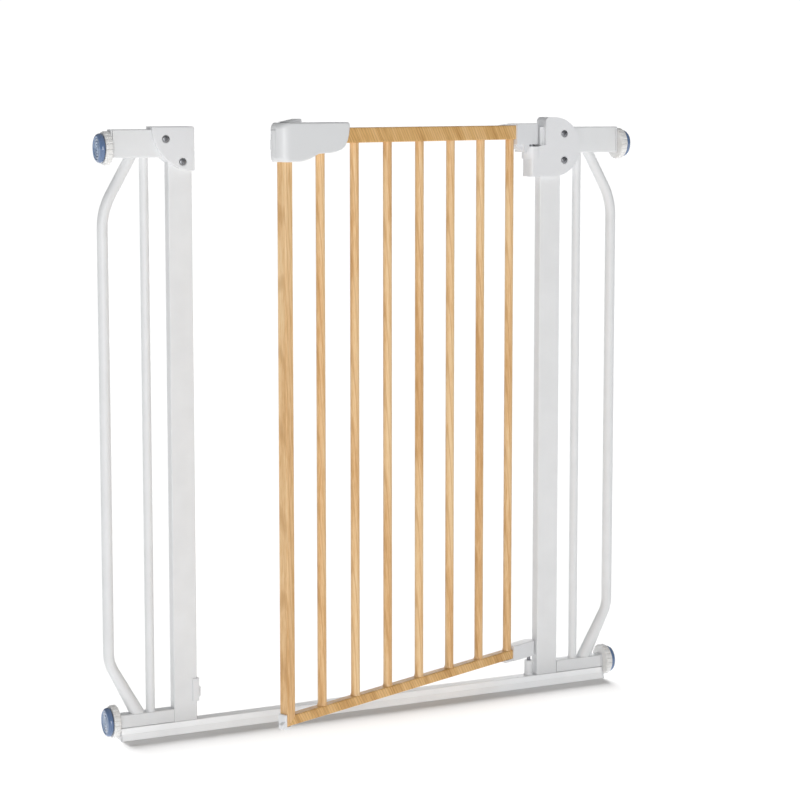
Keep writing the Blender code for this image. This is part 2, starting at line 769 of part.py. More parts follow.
# ---- hinge pins and the sleeve on the threshold ----------------------------------------------
ARM_BASE = RAIL_TOP - ARM_DROP
ARM_TOP = DOOR_TOP + ARM_TOP_LAP
PIN_BASE = RAIL_TOP + HINGE_COVER_TOP - 2 * HINGE_COVER_RADIUS + PIN_COVER
rod(
    "upper_hinge_pin",
    UPPER_PIN_DIAMETER,
    (HINGE_X, 0, PIN_BASE),
    (HINGE_X, 0, PIN_BASE + UPPER_PIN_LENGTH),
    STEEL,
)
BRACKET_BASE = DOOR_BOTTOM - LOWER_BRACKET_DROP
BRACKET_TOP = BRACKET_BASE + LOWER_BRACKET_HEIGHT
rod(
    "lower_hinge_pin",
    LOWER_PIN_DIAMETER,
    (HINGE_X, 0, THRESHOLD_HEIGHT + LOWER_PIN_RISE),
    (HINGE_X, 0, BRACKET_TOP - PIN_COVER),
    STEEL,
)
sleeve_wall = (SLEEVE_DIAMETER - LOWER_PIN_DIAMETER) / 2 - RUN
pipe(
    "lower_hinge_sleeve",
    [(HINGE_X, 0, THRESHOLD_HEIGHT + GAP), (HINGE_X, 0, SLEEVE_TOP)],
    SLEEVE_DIAMETER,
    sleeve_wall,
    WHITE_PAINT,
)


# ---- lower catch clip on the latch post ------------------------------------------------------
clip_inner = -(POST_IN - GAP)
clip_outer = clip_inner + CLIP_WALL
clip_back = clip_inner - CLIP_GRIP
clip_half = POST_DEPTH / 2 + GAP
clip_outline = [
    (clip_back, -clip_half - CLIP_WALL),
    (clip_outer, -clip_half - CLIP_WALL),
    (clip_outer, clip_half + CLIP_WALL),
    (clip_back, clip_half + CLIP_WALL),
    (clip_back, clip_half),
    (clip_inner, clip_half),
    (clip_inner, -clip_half),
    (clip_back, -clip_half),
]
clip = prism(
    "post_catch_clip",
    clip_outline,
    CLIP_HEIGHT,
    WHITE_PLASTIC,
    (0, 0, DOOR_BOTTOM - CLIP_DROP + CLIP_HEIGHT / 2),
    ALONG_Z,
)
HOOK_BASE = DOOR_BOTTOM - HOOK_DROP
hook = box(
    "post_catch_hook",
    (clip_inner + CLIP_WALL / 2, HOOK_FRONT, HOOK_BASE),
    (clip_outer + HOOK_REACH, HOOK_BACK, HOOK_BASE + HOOK_HEIGHT),
)
join(clip, hook)


# ---- door frame and bars, measured from the hinge axis along -X ------------------------------
def door_tube(name, width, height, start, end, z):
    """A rectangular tube of the door that runs along it."""
    box_tube(
        name,
        width,
        height,
        end - start,
        OAK_FILM,
        (-(start + end) / 2, 0, z),
        ALONG_X,
        door_axis,
    )


ARM_END = HINGE_BAR_REACH - BAR_DIAMETER / 2 - GAP
stile_inner = DOOR_REACH - STILE_WIDTH
top_rail_z = DOOR_TOP - DOOR_TOP_RAIL_HEIGHT / 2
bottom_rail_z = DOOR_BOTTOM + DOOR_BOTTOM_RAIL_HEIGHT / 2
door_tube(
    "door_top_rail",
    DOOR_DEPTH,
    DOOR_TOP_RAIL_HEIGHT,
    ARM_END - ARM_SOCKET,
    stile_inner - GAP,
    top_rail_z,
)
door_tube(
    "door_bottom_rail",
    DOOR_DEPTH,
    DOOR_BOTTOM_RAIL_HEIGHT,
    ARM_END + GAP,
    DOOR_REACH,
    bottom_rail_z,
)
stile_height = DOOR_TOP - DOOR_BOTTOM
box_tube(
    "door_free_stile",
    STILE_WIDTH,
    STILE_DEPTH,
    stile_height,
    OAK_FILM,
    (-STILE_REACH, 0, DOOR_BOTTOM + stile_height / 2),
    ALONG_Z,
    door_axis,
)

mitre_in = Vector((-stile_inner, DOOR_BOTTOM + DOOR_BOTTOM_RAIL_HEIGHT))
mitre_out = Vector((-DOOR_REACH, DOOR_BOTTOM))
mitre_line = (mitre_out - mitre_in).normalized()
mitre_normal = Vector((mitre_line.y, -mitre_line.x))     # points up, to the stile's side
MITRE_FAR = 0.03
for name, near, far in (
    ("door_free_stile", GAP / 2, -MITRE_FAR),
    ("door_bottom_rail", -GAP / 2, MITRE_FAR),
):
    first = mitre_in - mitre_line * MITRE_FAR
    second = mitre_out + mitre_line * MITRE_FAR
    slab = [
        first + mitre_normal * near,
        second + mitre_normal * near,
        second + mitre_normal * far,
        first + mitre_normal * far,
    ]
    trim = prism(name + "_mitre", slab, 2 * STILE_DEPTH, None, rotation=ALONG_Y, parent=door_axis)
    cut(bpy.data.objects[name], trim)

BAR_PITCH = (STILE_REACH - HINGE_BAR_REACH) / (BAR_COUNT + 1)
bar_foot = DOOR_BOTTOM + DOOR_BOTTOM_RAIL_HEIGHT + GAP
bar_head = DOOR_TOP - DOOR_TOP_RAIL_HEIGHT - GAP
for number in range(BAR_COUNT + 1):
    reach = HINGE_BAR_REACH + number * BAR_PITCH
    pipe(
        "door_bar_%d" % number if number else "door_hinge_bar",
        [(-reach, 0, bar_foot), (-reach, 0, bar_head)],
        BAR_DIAMETER,
        TUBE_WALL,
        OAK_FILM,
        door_axis,
    )


# ---- upper hinge arm on the door -------------------------------------------------------------
arm_outline = [
    *arc((0, 0), ARM_RADIUS, -90, 90, 10),
    (-ARM_END, ARM_RADIUS),
    (-ARM_END, -ARM_RADIUS),
]
arm = prism(
    "hinge_arm",
    arm_outline,
    ARM_TOP - ARM_BASE,
    WHITE_PLASTIC,
    (0, 0, (ARM_TOP + ARM_BASE) / 2),
    ALONG_Z,
    door_axis,
)
tongue_end = ARM_END + ARM_TONGUE
tongue = prism(
    "hinge_arm_tongue",
    [
        (-ARM_END + GAP, DOOR_TOP + GAP),
        (-ARM_END + GAP, ARM_TOP),
        (-ARM_END - GAP, ARM_TOP),
        (-tongue_end, DOOR_TOP + ARM_TONGUE_TIP),
        (-tongue_end, DOOR_TOP + GAP),
    ],
    DOOR_DEPTH - 2 * SIDE_INSET,
    None,
    rotation=ALONG_Y,
    parent=door_axis,
)
gusset_top = ARM_BASE + RUN
gusset = prism(
    "hinge_arm_gusset",
    [
        (-ARM_END, gusset_top),
        (-GUSSET_REACHES[2], ARM_BASE - GUSSET_DROP),
        (-GUSSET_REACHES[1], ARM_BASE - GUSSET_DROP),
        (-GUSSET_REACHES[0], gusset_top),
    ],
    2 * (ARM_RADIUS - SIDE_INSET),
    None,
    rotation=ALONG_Y,
    parent=door_axis,
)
join(arm, tongue, gusset)
arm_socket = box(
    "hinge_arm_socket",
    (-ARM_END - SOCKET_CLEAR, -DOOR_DEPTH / 2 - GAP, DOOR_TOP - DOOR_TOP_RAIL_HEIGHT - GAP),
    (-ARM_END + ARM_SOCKET + GAP, DOOR_DEPTH / 2 + GAP, DOOR_TOP + GAP),
    parent=door_axis,
)
arm_bore = rod(
    "hinge_arm_bore",
    UPPER_PIN_DIAMETER + 2 * RUN,
    (0, 0, ARM_BASE - SOCKET_CLEAR),
    (0, 0, PIN_BASE + UPPER_PIN_LENGTH + GAP),
    parent=door_axis,
)
cut(arm, arm_socket, arm_bore)


# ---- lower hinge bracket on the door ---------------------------------------------------------
bracket = prism(
    "lower_hinge_bracket",
    [
        *arc((0, 0), LOWER_BRACKET_HALF_DEPTH, -90, 90, 10),
        (-ARM_END, LOWER_BRACKET_HALF_DEPTH),
        (-ARM_END, -LOWER_BRACKET_HALF_DEPTH),
    ],
    LOWER_BRACKET_HEIGHT,
    WHITE_PLASTIC,
    (0, 0, BRACKET_BASE + LOWER_BRACKET_HEIGHT / 2),
    ALONG_Z,
    door_axis,
)
lip = box(
    "lower_bracket_lip",
    (-ARM_END - LOWER_BRACKET_LIP, -DOOR_DEPTH / 2, BRACKET_BASE + GAP),
    (-ARM_END + RUN, DOOR_DEPTH / 2, DOOR_BOTTOM - GAP),
    parent=door_axis,
)
tongue_half = DOOR_DEPTH / 2 - TUBE_WALL - GAP
tongue_inset = TUBE_WALL + GAP
rail_tongue = box(
    "lower_bracket_tongue",
    (-ARM_END - BRACKET_TONGUE, -tongue_half, DOOR_BOTTOM + tongue_inset),
    (-ARM_END + RUN, tongue_half, DOOR_BOTTOM + DOOR_BOTTOM_RAIL_HEIGHT - tongue_inset),
    parent=door_axis,
)
lower_bore = rod(
    "lower_bracket_bore",
    LOWER_PIN_DIAMETER + 2 * RUN,
    (0, 0, 0),
    (0, 0, BRACKET_TOP - PIN_COVER + GAP),
    parent=door_axis,
)
cut(join(bracket, lip, rail_tongue), lower_bore)


# ---- lower catch on the free stile -----------------------------------------------------------
catch_face = DOOR_REACH + GAP
catch_out = DOOR_REACH + CATCH_PLATE
catch_base = DOOR_BOTTOM - CATCH_DROP
catch = prism(
    "door_lower_catch",
    [
        (-catch_face, DOOR_BOTTOM + CATCH_RISE),
        (-catch_out, DOOR_BOTTOM + CATCH_RISE - CATCH_SLOPE),
        (-catch_out, catch_base),
        (-stile_inner, catch_base),
        (-stile_inner, DOOR_BOTTOM - GAP),
        (-catch_face, DOOR_BOTTOM - GAP),
    ],
    STILE_DEPTH - 2 * SIDE_INSET,
    WHITE_PLASTIC,
    rotation=ALONG_Y,
    parent=door_axis,
)
nose = prism(
    "door_catch_nose",
    [
        (-catch_out + RUN, HOOK_BASE + NOSE_HEIGHTS[3]),
        (-(DOOR_REACH + NOSE_REACH), HOOK_BASE + NOSE_HEIGHTS[2]),
        (-(DOOR_REACH + NOSE_REACH), HOOK_BASE + NOSE_HEIGHTS[1]),
        (-catch_out + RUN, HOOK_BASE + NOSE_HEIGHTS[0]),
    ],
    NOSE_DEPTH,
    None,
    (0, -NOSE_DEPTH / 2 - GAP, 0),
    ALONG_Y,
    door_axis,
)
join(catch, nose)


# ---- handle housing on the free corner, with the thumb slide and the bolt it throws ----------
HANDLE_OUT = DOOR_REACH + HANDLE_END_LAP
HANDLE_IN = HANDLE_OUT - HANDLE_LENGTH
HANDLE_TOP = DOOR_TOP + HANDLE_RISE
handle_foot = HANDLE_TOP - HANDLE_DROP
rail_under = DOOR_TOP - DOOR_TOP_RAIL_HEIGHT
handle_outline = [
    (-HANDLE_OUT, handle_foot + 0.004),
    (-HANDLE_OUT, HANDLE_TOP - 0.002),
    (-HANDLE_OUT + 0.002, HANDLE_TOP),
    (-HANDLE_IN - 0.004, HANDLE_TOP),
    (-HANDLE_IN, HANDLE_TOP - 0.0045, "round"),
    (-HANDLE_IN - 0.0045, HANDLE_TOP - 0.0215, "round"),
    (-HANDLE_IN - 0.0165, HANDLE_TOP - 0.0320, "round"),
    (-HANDLE_IN - 0.0370, HANDLE_TOP - 0.0362, "round"),
    (-HANDLE_IN - 0.0620, HANDLE_TOP - 0.0371, "round"),
    (-HANDLE_IN - 0.0750, HANDLE_TOP - 0.0402, "round"),
    (-HANDLE_IN - 0.0900, HANDLE_TOP - 0.0445, "round"),
    (-HANDLE_IN - 0.1020, handle_foot, "round"),
    (-HANDLE_OUT + 0.004, handle_foot),
]
shell_inner = HANDLE_HALF_DEPTH - HANDLE_WALL
roof = HANDLE_TOP - HANDLE_WALL
end_wall = HANDLE_OUT - HANDLE_WALL
handle_tools = [
    box(
        "handle_hollow_rail",
        (-end_wall, -shell_inner, rail_under - RUN),
        (-HANDLE_IN - 0.0120, shell_inner, roof),
        parent=door_axis,
    ),
    box(
        "handle_hollow_grip",
        (-end_wall, -shell_inner, HANDLE_TOP - 0.0325),
        (-HANDLE_IN - 0.0350, shell_inner, rail_under),
        parent=door_axis,
    ),
    box(
        "handle_hollow_stile",
        (-end_wall, -shell_inner, handle_foot + HANDLE_WALL),
        (-HANDLE_IN - 0.0920, shell_inner, HANDLE_TOP - 0.0320),
        parent=door_axis,
    ),
    box(
        "handle_rail_exit",
        (-HANDLE_IN - 0.0130, -DOOR_DEPTH / 2 - GAP, rail_under - GAP),
        (-HANDLE_IN + SOCKET_CLEAR, DOOR_DEPTH / 2 + GAP, DOOR_TOP + GAP),
        parent=door_axis,
    ),
    box(
        "handle_stile_exit",
        (-DOOR_REACH - GAP, -STILE_DEPTH / 2 - GAP, handle_foot - SOCKET_CLEAR),
        (-stile_inner + GAP, STILE_DEPTH / 2 + GAP, rail_under),
        parent=door_axis,
    ),
]
for number in range(1, BAR_COUNT + 1):
    reach = HINGE_BAR_REACH + number * BAR_PITCH
    if reach + BAR_DIAMETER > HANDLE_IN:
        bar_room = rod(
            "handle_bar_room_%d" % number,
            BAR_DIAMETER + 2 * GAP,
            (-reach, 0, handle_foot - SOCKET_CLEAR),
            (-reach, 0, rail_under),
            parent=door_axis,
        )
        handle_tools.append(bar_room)
leg_front = STILE_DEPTH / 2 + RUN
leg_back = leg_front + LEG_THICKNESS
leg_low = HANDLE_IN + LEG_START
leg_high = leg_low + LEG_WIDTH
back_tools = [
    box(
        "handle_bolt_mouth",
        (-HANDLE_OUT - SLOT_EASE, BOLT_FACE - BOLT_THICKNESS - RUN, BOLT_BASE - RUN),
        (-end_wall + SLOT_EASE, BOLT_FACE + RUN, BOLT_BASE + BOLT_HEIGHT + RUN),
        parent=door_axis,
    ),
    box(
        "handle_slide_slot",
        (-leg_high - BOLT_TRAVEL - RUN, leg_front - RUN, roof - SLOT_EASE),
        (-leg_low + RUN, leg_back + RUN, HANDLE_TOP + SLOT_EASE),
        parent=door_axis,
    ),
]
for face, way, tools in (
    ("front", -1, handle_tools),
    ("back", 1, handle_tools + back_tools),
):
    depth = HANDLE_HALF_DEPTH - GAP / 2
    shell = prism(
        "handle_shell_" + face,
        handle_outline,
        depth,
        GREY_PLASTIC,
        (0, way * (GAP / 2 + depth / 2), 0),
        ALONG_Y,
        door_axis,
    )
    round_front(shell, HANDLE_ROUND, 3, -way * depth / 2)
    cut(shell, *tools)

bolt_end = HANDLE_OUT - GAP
box(
    "latch_bolt",
    (-bolt_end, BOLT_FACE - BOLT_THICKNESS, BOLT_BASE),
    (-bolt_end + BOLT_LENGTH, BOLT_FACE, BOLT_BASE + BOLT_HEIGHT),
    GREY_PLASTIC,
    door_axis,
)
slide_low = HANDLE_IN + SLIDE_START
slide_high = slide_low + SLIDE_LENGTH
slide = prism(
    "thumb_slide",
    [
        (-slide_high, HANDLE_TOP + RUN),
        (-slide_low, HANDLE_TOP + RUN),
        (-slide_low - SLIDE_NOSE / 2, HANDLE_TOP + SLIDE_HIGH - GAP),
        (-slide_low - SLIDE_NOSE, HANDLE_TOP + SLIDE_HIGH),
        (-slide_high, HANDLE_TOP + SLIDE_LOW),
    ],
    SLIDE_WIDTH,
    GREY_PLASTIC,
    (0, leg_back - SLIDE_WIDTH / 2, 0),
    ALONG_Y,
    door_axis,
)
slide_leg = box(
    "thumb_slide_leg",
    (-leg_high, leg_front, BOLT_BASE + BOLT_HEIGHT + GAP),
    (-leg_low, leg_back, HANDLE_TOP + 2 * RUN),
    parent=door_axis,
)
join(slide, slide_leg)
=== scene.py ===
import json
import math

import bmesh
import bpy
from mathutils import Matrix, Vector


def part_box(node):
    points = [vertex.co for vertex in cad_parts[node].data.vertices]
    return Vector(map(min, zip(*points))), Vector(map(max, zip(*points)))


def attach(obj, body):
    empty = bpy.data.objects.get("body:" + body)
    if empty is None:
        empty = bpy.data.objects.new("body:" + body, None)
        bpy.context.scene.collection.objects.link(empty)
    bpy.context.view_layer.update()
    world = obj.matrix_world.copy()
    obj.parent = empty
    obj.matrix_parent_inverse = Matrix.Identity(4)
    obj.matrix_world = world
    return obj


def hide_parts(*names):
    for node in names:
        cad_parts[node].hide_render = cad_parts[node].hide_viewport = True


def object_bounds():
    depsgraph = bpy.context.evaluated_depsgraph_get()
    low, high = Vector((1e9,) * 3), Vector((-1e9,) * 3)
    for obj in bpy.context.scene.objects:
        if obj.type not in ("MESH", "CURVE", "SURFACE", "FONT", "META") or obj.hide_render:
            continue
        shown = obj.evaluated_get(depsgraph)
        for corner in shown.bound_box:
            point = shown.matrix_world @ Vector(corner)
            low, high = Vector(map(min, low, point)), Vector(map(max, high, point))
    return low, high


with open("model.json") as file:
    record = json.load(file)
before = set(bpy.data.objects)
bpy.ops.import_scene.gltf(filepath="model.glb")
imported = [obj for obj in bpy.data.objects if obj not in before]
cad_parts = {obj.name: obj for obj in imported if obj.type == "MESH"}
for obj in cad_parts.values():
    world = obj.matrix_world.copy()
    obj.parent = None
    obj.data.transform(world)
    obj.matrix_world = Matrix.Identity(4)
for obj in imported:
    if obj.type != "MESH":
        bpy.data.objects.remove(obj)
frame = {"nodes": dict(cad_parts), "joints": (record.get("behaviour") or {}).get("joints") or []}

cad_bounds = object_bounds()
MM = 0.001
SAME_SPOT = 0.002 * MM              # points nearer than this are one point
HAIR = 0.01 * MM                    # how exactly an edge is found by where it lies


# ---- room: floor, soft light and camera ------------------------------------------------------
# A wide white floor under a dome that is dim at its foot and bright overhead, and plain white to the
# camera.  Two softboxes light the gate, one the threshold, and a sun draws the threshold's shadow.
def linear(hex_code):
    """A colour written as sRGB hex, turned to the linear values that nodes take."""
    values = [int(hex_code[place:place + 2], 16) / 255 for place in (0, 2, 4)]
    return (*[v / 12.92 if v <= 0.04045 else ((v + 0.055) / 1.055) ** 2.4 for v in values], 1.0)


def add_node(tree, kind, settings=None, inputs=None):
    """Adds a node with its settings; an input is given a value, or another node's output."""
    made = tree.nodes.new(kind)
    for name, value in (settings or {}).items():
        setattr(made, name, value)
    for name, value in (inputs or {}).items():
        if isinstance(value, bpy.types.NodeSocket):
            tree.links.new(value, made.inputs[name])
        else:
            made.inputs[name].default_value = value
    return made


def studio_floor():
    """Matt white paper without any gloss."""
    made = bpy.data.materials.new("matt_white_sweep_paper")
    made.use_nodes = True
    shader = made.node_tree.nodes["Principled BSDF"]
    shader.inputs["Base Color"].default_value = linear("F4F4F4")
    shader.inputs["Roughness"].default_value = 1.0
    shader.inputs["Specular IOR Level"].default_value = 0.0
    return made


scene = bpy.context.scene
scene.view_settings.view_transform = "Standard"

FLOOR_HALF = 30.0
FLOOR_GAP = 0.3 * MM
sweep = bmesh.new()
bmesh.ops.create_grid(sweep, x_segments=1, y_segments=1, size=FLOOR_HALF)
bmesh.ops.translate(sweep, vec=(0, 0, cad_bounds[0][2] - FLOOR_GAP), verts=sweep.verts)
floor_mesh = bpy.data.meshes.new("floor")
sweep.to_mesh(floor_mesh)
sweep.free()
floor_mesh.materials.append(studio_floor())
floor = bpy.data.objects.new("floor", floor_mesh)
floor_only = bpy.data.collections.new("floor_only")
scene.collection.children.link(floor_only)
floor_only.objects.link(floor)

ROOM_WALLS = 0.08
ROOM_CEILING = 0.46
ROOM_WHITE = 1.05
room = bpy.data.worlds.new("white_studio")
room.use_nodes = True
dome = room.node_tree
dome.nodes.clear()
rays = add_node(dome, "ShaderNodeLightPath")
heading = add_node(dome, "ShaderNodeTexCoord")
height = add_node(dome, "ShaderNodeSeparateXYZ", inputs={0: heading.outputs["Generated"]})
glow = add_node(
    dome,
    "ShaderNodeMapRange",
    inputs={"Value": height.outputs["Z"], "To Min": ROOM_WALLS, "To Max": ROOM_CEILING},
)
grey = add_node(
    dome, "ShaderNodeBackground", inputs={"Color": linear("FDFEFF"), "Strength": glow.outputs["Result"]}
)
white = add_node(
    dome, "ShaderNodeBackground", inputs={"Color": linear("FFFFFF"), "Strength": ROOM_WHITE}
)
either = add_node(
    dome,
    "ShaderNodeMixShader",
    inputs={0: rays.outputs["Is Camera Ray"], 1: grey.outputs[0], 2: white.outputs[0]},
)
add_node(dome, "ShaderNodeOutputWorld", inputs={"Surface": either.outputs[0]})
scene.world = room


def softbox(name, place, aim, size, power, receivers):
    """A square light that faces a point and lights only the objects its collection lets in."""
    light = bpy.data.lights.new(name, "AREA")
    light.shape = "SQUARE"
    light.size = size
    light.energy = power
    made = bpy.data.objects.new(name, light)
    made.location = place
    made.rotation_euler = (Vector(aim) - Vector(place)).to_track_quat("-Z", "Y").to_euler()
    made.light_linking.receiver_collection = receivers
    scene.collection.objects.link(made)


all_but_floor = bpy.data.collections.new("all_but_floor")
scene.collection.children.link(all_but_floor)
all_but_floor.objects.link(floor)
all_but_floor.collection_objects[0].light_linking.link_state = "EXCLUDE"
on_the_floor = bpy.data.collections.new("pieces_on_the_floor")
scene.collection.children.link(on_the_floor)
softbox("front_softbox", (-1.5, -3.4, 0.8), (0.0, 0.0, 0.4), 1.4, 43.0, all_but_floor)
softbox("back_fill", (2.2, 3.4, 0.6), (0.0, 0.0, 0.4), 2.0, 34.0, all_but_floor)
softbox("floor_bounce", (-0.6, -3.0, 0.25), (0.0, 0.0, 0.0), 1.0, 38.0, on_the_floor)

FLOOR_LIGHT_TILT = math.radians(73)
overhead = bpy.data.lights.new("floor_light", "SUN")
overhead.energy = 9.0
overhead.angle = math.radians(25)
floor_light = bpy.data.objects.new("floor_light", overhead)
floor_light.rotation_euler = (-FLOOR_LIGHT_TILT, 0, 0)
floor_light.light_linking.receiver_collection = floor_only
floor_light.light_linking.blocker_collection = on_the_floor
scene.collection.objects.link(floor_light)

CAMERA_PLACE = (-1.1479, -2.5039, 0.7896)
CAMERA_YAW = math.radians(25.42)
CAMERA_PITCH = math.radians(6.14)
camera = bpy.data.objects.new("camera", bpy.data.cameras.new("camera"))
camera.location = CAMERA_PLACE
camera.rotation_euler = (math.pi / 2 - CAMERA_PITCH, 0, -CAMERA_YAW)
camera.data.lens = 96.78
camera.data.shift_y = -0.085
scene.collection.objects.link(camera)
scene.camera = camera


# ---- threshold bar ---------------------------------------------------------------------------
# The flat bar that lies on the floor between the walls: roll-formed steel, powder coated white.
# Its front and back slope to a knee with a small step, and it is stepped over, so its edges are soft.
def start_surface(name, colour, roughness, ior=1.5, metallic=0.0):
    """A material with one shader, its overall colour and finish, and the piece's own coordinates."""
    made = bpy.data.materials.new(name)
    made.use_nodes = True
    tree = made.node_tree
    shader = tree.nodes["Principled BSDF"]
    shader.inputs["Base Color"].default_value = linear(colour)
    shader.inputs["Roughness"].default_value = roughness
    shader.inputs["Metallic"].default_value = metallic
    if not metallic:
        shader.inputs["IOR"].default_value = ior
    place = add_node(tree, "ShaderNodeTexCoord")
    return made, tree, shader, place.outputs["Object"]


def white_powder_coat():
    """Polyester powder coat baked on steel: a soft gloss over a fine orange-peel ripple, slightly uneven."""
    made, tree, shader, place = start_surface("white_powder_coat", "E9EAEB", 0.36)
    ripple = add_node(
        tree, "ShaderNodeTexNoise", inputs={"Vector": place, "Scale": 1 / (1.6 * MM), "Detail": 2.0}
    )
    patches = add_node(
        tree, "ShaderNodeTexNoise", inputs={"Vector": place, "Scale": 1 / (35 * MM), "Detail": 3.0}
    )
    tint = add_node(tree, "ShaderNodeValToRGB", inputs={"Fac": patches.outputs["Fac"]})
    for stop, (spot, shade) in zip(tint.color_ramp.elements, ((0.3, "E6E7E8"), (0.7, "EBECED"))):
        stop.position, stop.color = spot, linear(shade)
    gloss = add_node(
        tree,
        "ShaderNodeMapRange",
        inputs={"Value": patches.outputs["Fac"], "To Min": 0.31, "To Max": 0.42},
    )
    bump = add_node(
        tree,
        "ShaderNodeBump",
        inputs={"Height": ripple.outputs["Fac"], "Distance": 0.06 * MM, "Strength": 0.35},
    )
    tree.links.new(tint.outputs["Color"], shader.inputs["Base Color"])
    tree.links.new(gloss.outputs["Result"], shader.inputs["Roughness"])
    tree.links.new(bump.outputs["Normal"], shader.inputs["Normal"])
    return made


WHITE_PAINT = (white_powder_coat(), "white_paint")


def extruded(outline, start, end, along):
    """A flat outline given a depth along one axis; its points hold the other two axes in order."""
    shape = bmesh.new()
    corners = []
    for first, second in outline:
        spot = [first, second]
        spot.insert(along, start)
        corners.append(shape.verts.new(spot))
    face = shape.faces.new(corners)
    grown = bmesh.ops.extrude_face_region(shape, geom=[face])["geom"]
    depth = Vector()
    depth[along] = end - start
    bmesh.ops.translate(shape, vec=depth, verts=[v for v in grown if isinstance(v, bmesh.types.BMVert)])
    bmesh.ops.recalc_face_normals(shape, faces=shape.faces)
    return shape


def edges_along(shape, along, test=lambda middle: True):
    """The shape's edges that run along an axis, where the test holds for their middle."""
    found = []
    for edge in shape.edges:
        run = (edge.verts[1].co - edge.verts[0].co).normalized()
        if abs(run[along]) > 0.99 and test((edge.verts[0].co + edge.verts[1].co) / 2):
            found.append(edge)
    return found


def edges_on(shape, along, level):
    """The edges that lie in the plane at a level of one axis."""
    return [e for e in shape.edges if all(abs(v.co[along] - level) < 0.02 * MM for v in e.verts)]


def round_off(shape, edges, width, segments=4):
    """Rounds the edges, as paint, moulding or bending leaves them."""
    bmesh.ops.bevel(
        shape,
        geom=edges,
        offset=width,
        offset_type="OFFSET",
        segments=segments,
        profile=0.5,
        affect="EDGES",
        material=-1,
        clamp_overlap=True,
    )
    return shape


def fit_piece(name, shape, finish, body, stands_for, sharp_angle=32):
    """Closes a shape's seams and makes it a named piece that rides on a body in place of CAD nodes."""
    surface, slot = finish
    bmesh.ops.remove_doubles(shape, verts=shape.verts, dist=SAME_SPOT)
    bmesh.ops.recalc_face_normals(shape, faces=shape.faces)
    mesh = bpy.data.meshes.new(name)
    shape.to_mesh(mesh)
    shape.free()
    mesh.shade_smooth()
    mesh.set_sharp_from_angle(angle=math.radians(sharp_angle))
    mesh.materials.append(surface)
    made = bpy.data.objects.new(name, mesh)
    scene.collection.objects.link(made)
    shading = made.modifiers.new("flat_faces_stay_flat", "WEIGHTED_NORMAL")
    shading.keep_sharp = True
    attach(made, body)
    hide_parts(*stands_for)
    return made


def threshold_profile(low, high):
    """Half of the bar's section, mirrored: foot, sloping lower face, step at the knee, and top."""
    foot = high.y
    half = [
        (foot, low.z),
        (foot, low.z + 0.9 * MM),
        (foot - 3.6 * MM, low.z + 6.9 * MM),
        (foot - 4.2 * MM, low.z + 7.3 * MM),
        (foot - 6.0 * MM, high.z),
    ]
    return half + [(-y, z) for y, z in reversed(half)]


low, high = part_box("threshold_bar")
bar = extruded(threshold_profile(low, high), low.x, high.x, 0)
round_off(bar, edges_along(bar, 0, lambda middle: middle.z > high.z - MM), 0.9 * MM)
formed = fit_piece("formed_threshold", bar, WHITE_PAINT, "frame", ["threshold_bar"])
on_the_floor.objects.link(formed)


# ---- threshold end caps ----------------------------------------------------------------------
# A moulded white plug closes each end of the bar and keeps its raw edge off the wall.
def moulded_abs(name, colour, roughness, grain_size, flow_size, glossiest, dullest):
    """Moulded ABS: a fine spark-eroded grain and slow moulding flow break up its gloss."""
    made, tree, shader, place = start_surface(name, colour, roughness, ior=1.53)
    grain = add_node(
        tree, "ShaderNodeTexNoise", inputs={"Vector": place, "Scale": 1 / grain_size, "Detail": 3.0}
    )
    flow = add_node(
        tree, "ShaderNodeTexNoise", inputs={"Vector": place, "Scale": 1 / flow_size, "Detail": 2.0}
    )
    gloss = add_node(
        tree,
        "ShaderNodeMapRange",
        inputs={"Value": flow.outputs["Fac"], "To Min": glossiest, "To Max": dullest},
    )
    bump = add_node(
        tree,
        "ShaderNodeBump",
        inputs={"Height": grain.outputs["Fac"], "Distance": 0.03 * MM, "Strength": 0.3},
    )
    tree.links.new(gloss.outputs["Result"], shader.inputs["Roughness"])
    tree.links.new(bump.outputs["Normal"], shader.inputs["Normal"])
    return made


WHITE_PLASTIC = (
    moulded_abs("moulded_white_abs", "E7E8EA", 0.34, 0.7 * MM, 18 * MM, 0.28, 0.40), "white_plastic"
)
bar_low, bar_high = low, high
for side, way in (("left", -1), ("right", 1)):
    cap_low, cap_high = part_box("threshold_cap_" + side)
    outer = cap_low.x if way < 0 else cap_high.x
    inner = bar_low.x - 0.1 * MM if way < 0 else bar_high.x + 0.1 * MM
    cap = extruded(threshold_profile(bar_low, bar_high), inner, outer, 0)
    round_off(cap, edges_on(cap, 0, outer), 0.8 * MM, 3)
    fit_piece("end_cap_" + side, cap, WHITE_PLASTIC, "frame", ["threshold_cap_" + side])


# ---- posts and side rails --------------------------------------------------------------------
# Rectangular welded steel tube, cut square and powder coated.  Drawing the tube leaves its long
# edges round, and the coat fills the joint between rail and post to a fine line.
TUBE_EDGE = 1.5 * MM
TUBE_WALL = 1.3 * MM
SPINDLE_ROOM = 2 * MM               # from the spindle's inner end to the end of the rail's hollow


def block(low, high):
    """A plain block between two corners."""
    shape = bmesh.new()
    bmesh.ops.create_cube(shape, size=1.0)
    bmesh.ops.scale(shape, vec=Vector(high) - Vector(low), verts=shape.verts)
    bmesh.ops.translate(shape, vec=(Vector(high) + Vector(low)) / 2, verts=shape.verts)
    return shape


def square_tube(low, high, along):
    """A closed rectangular tube with drawn long edges and a slight break at its ends."""
    shape = block(low, high)
    round_off(shape, edges_along(shape, along), TUBE_EDGE)
    round_off(shape, edges_on(shape, along, low[along]) + edges_on(shape, along, high[along]), 0.2 * MM, 2)
    return shape


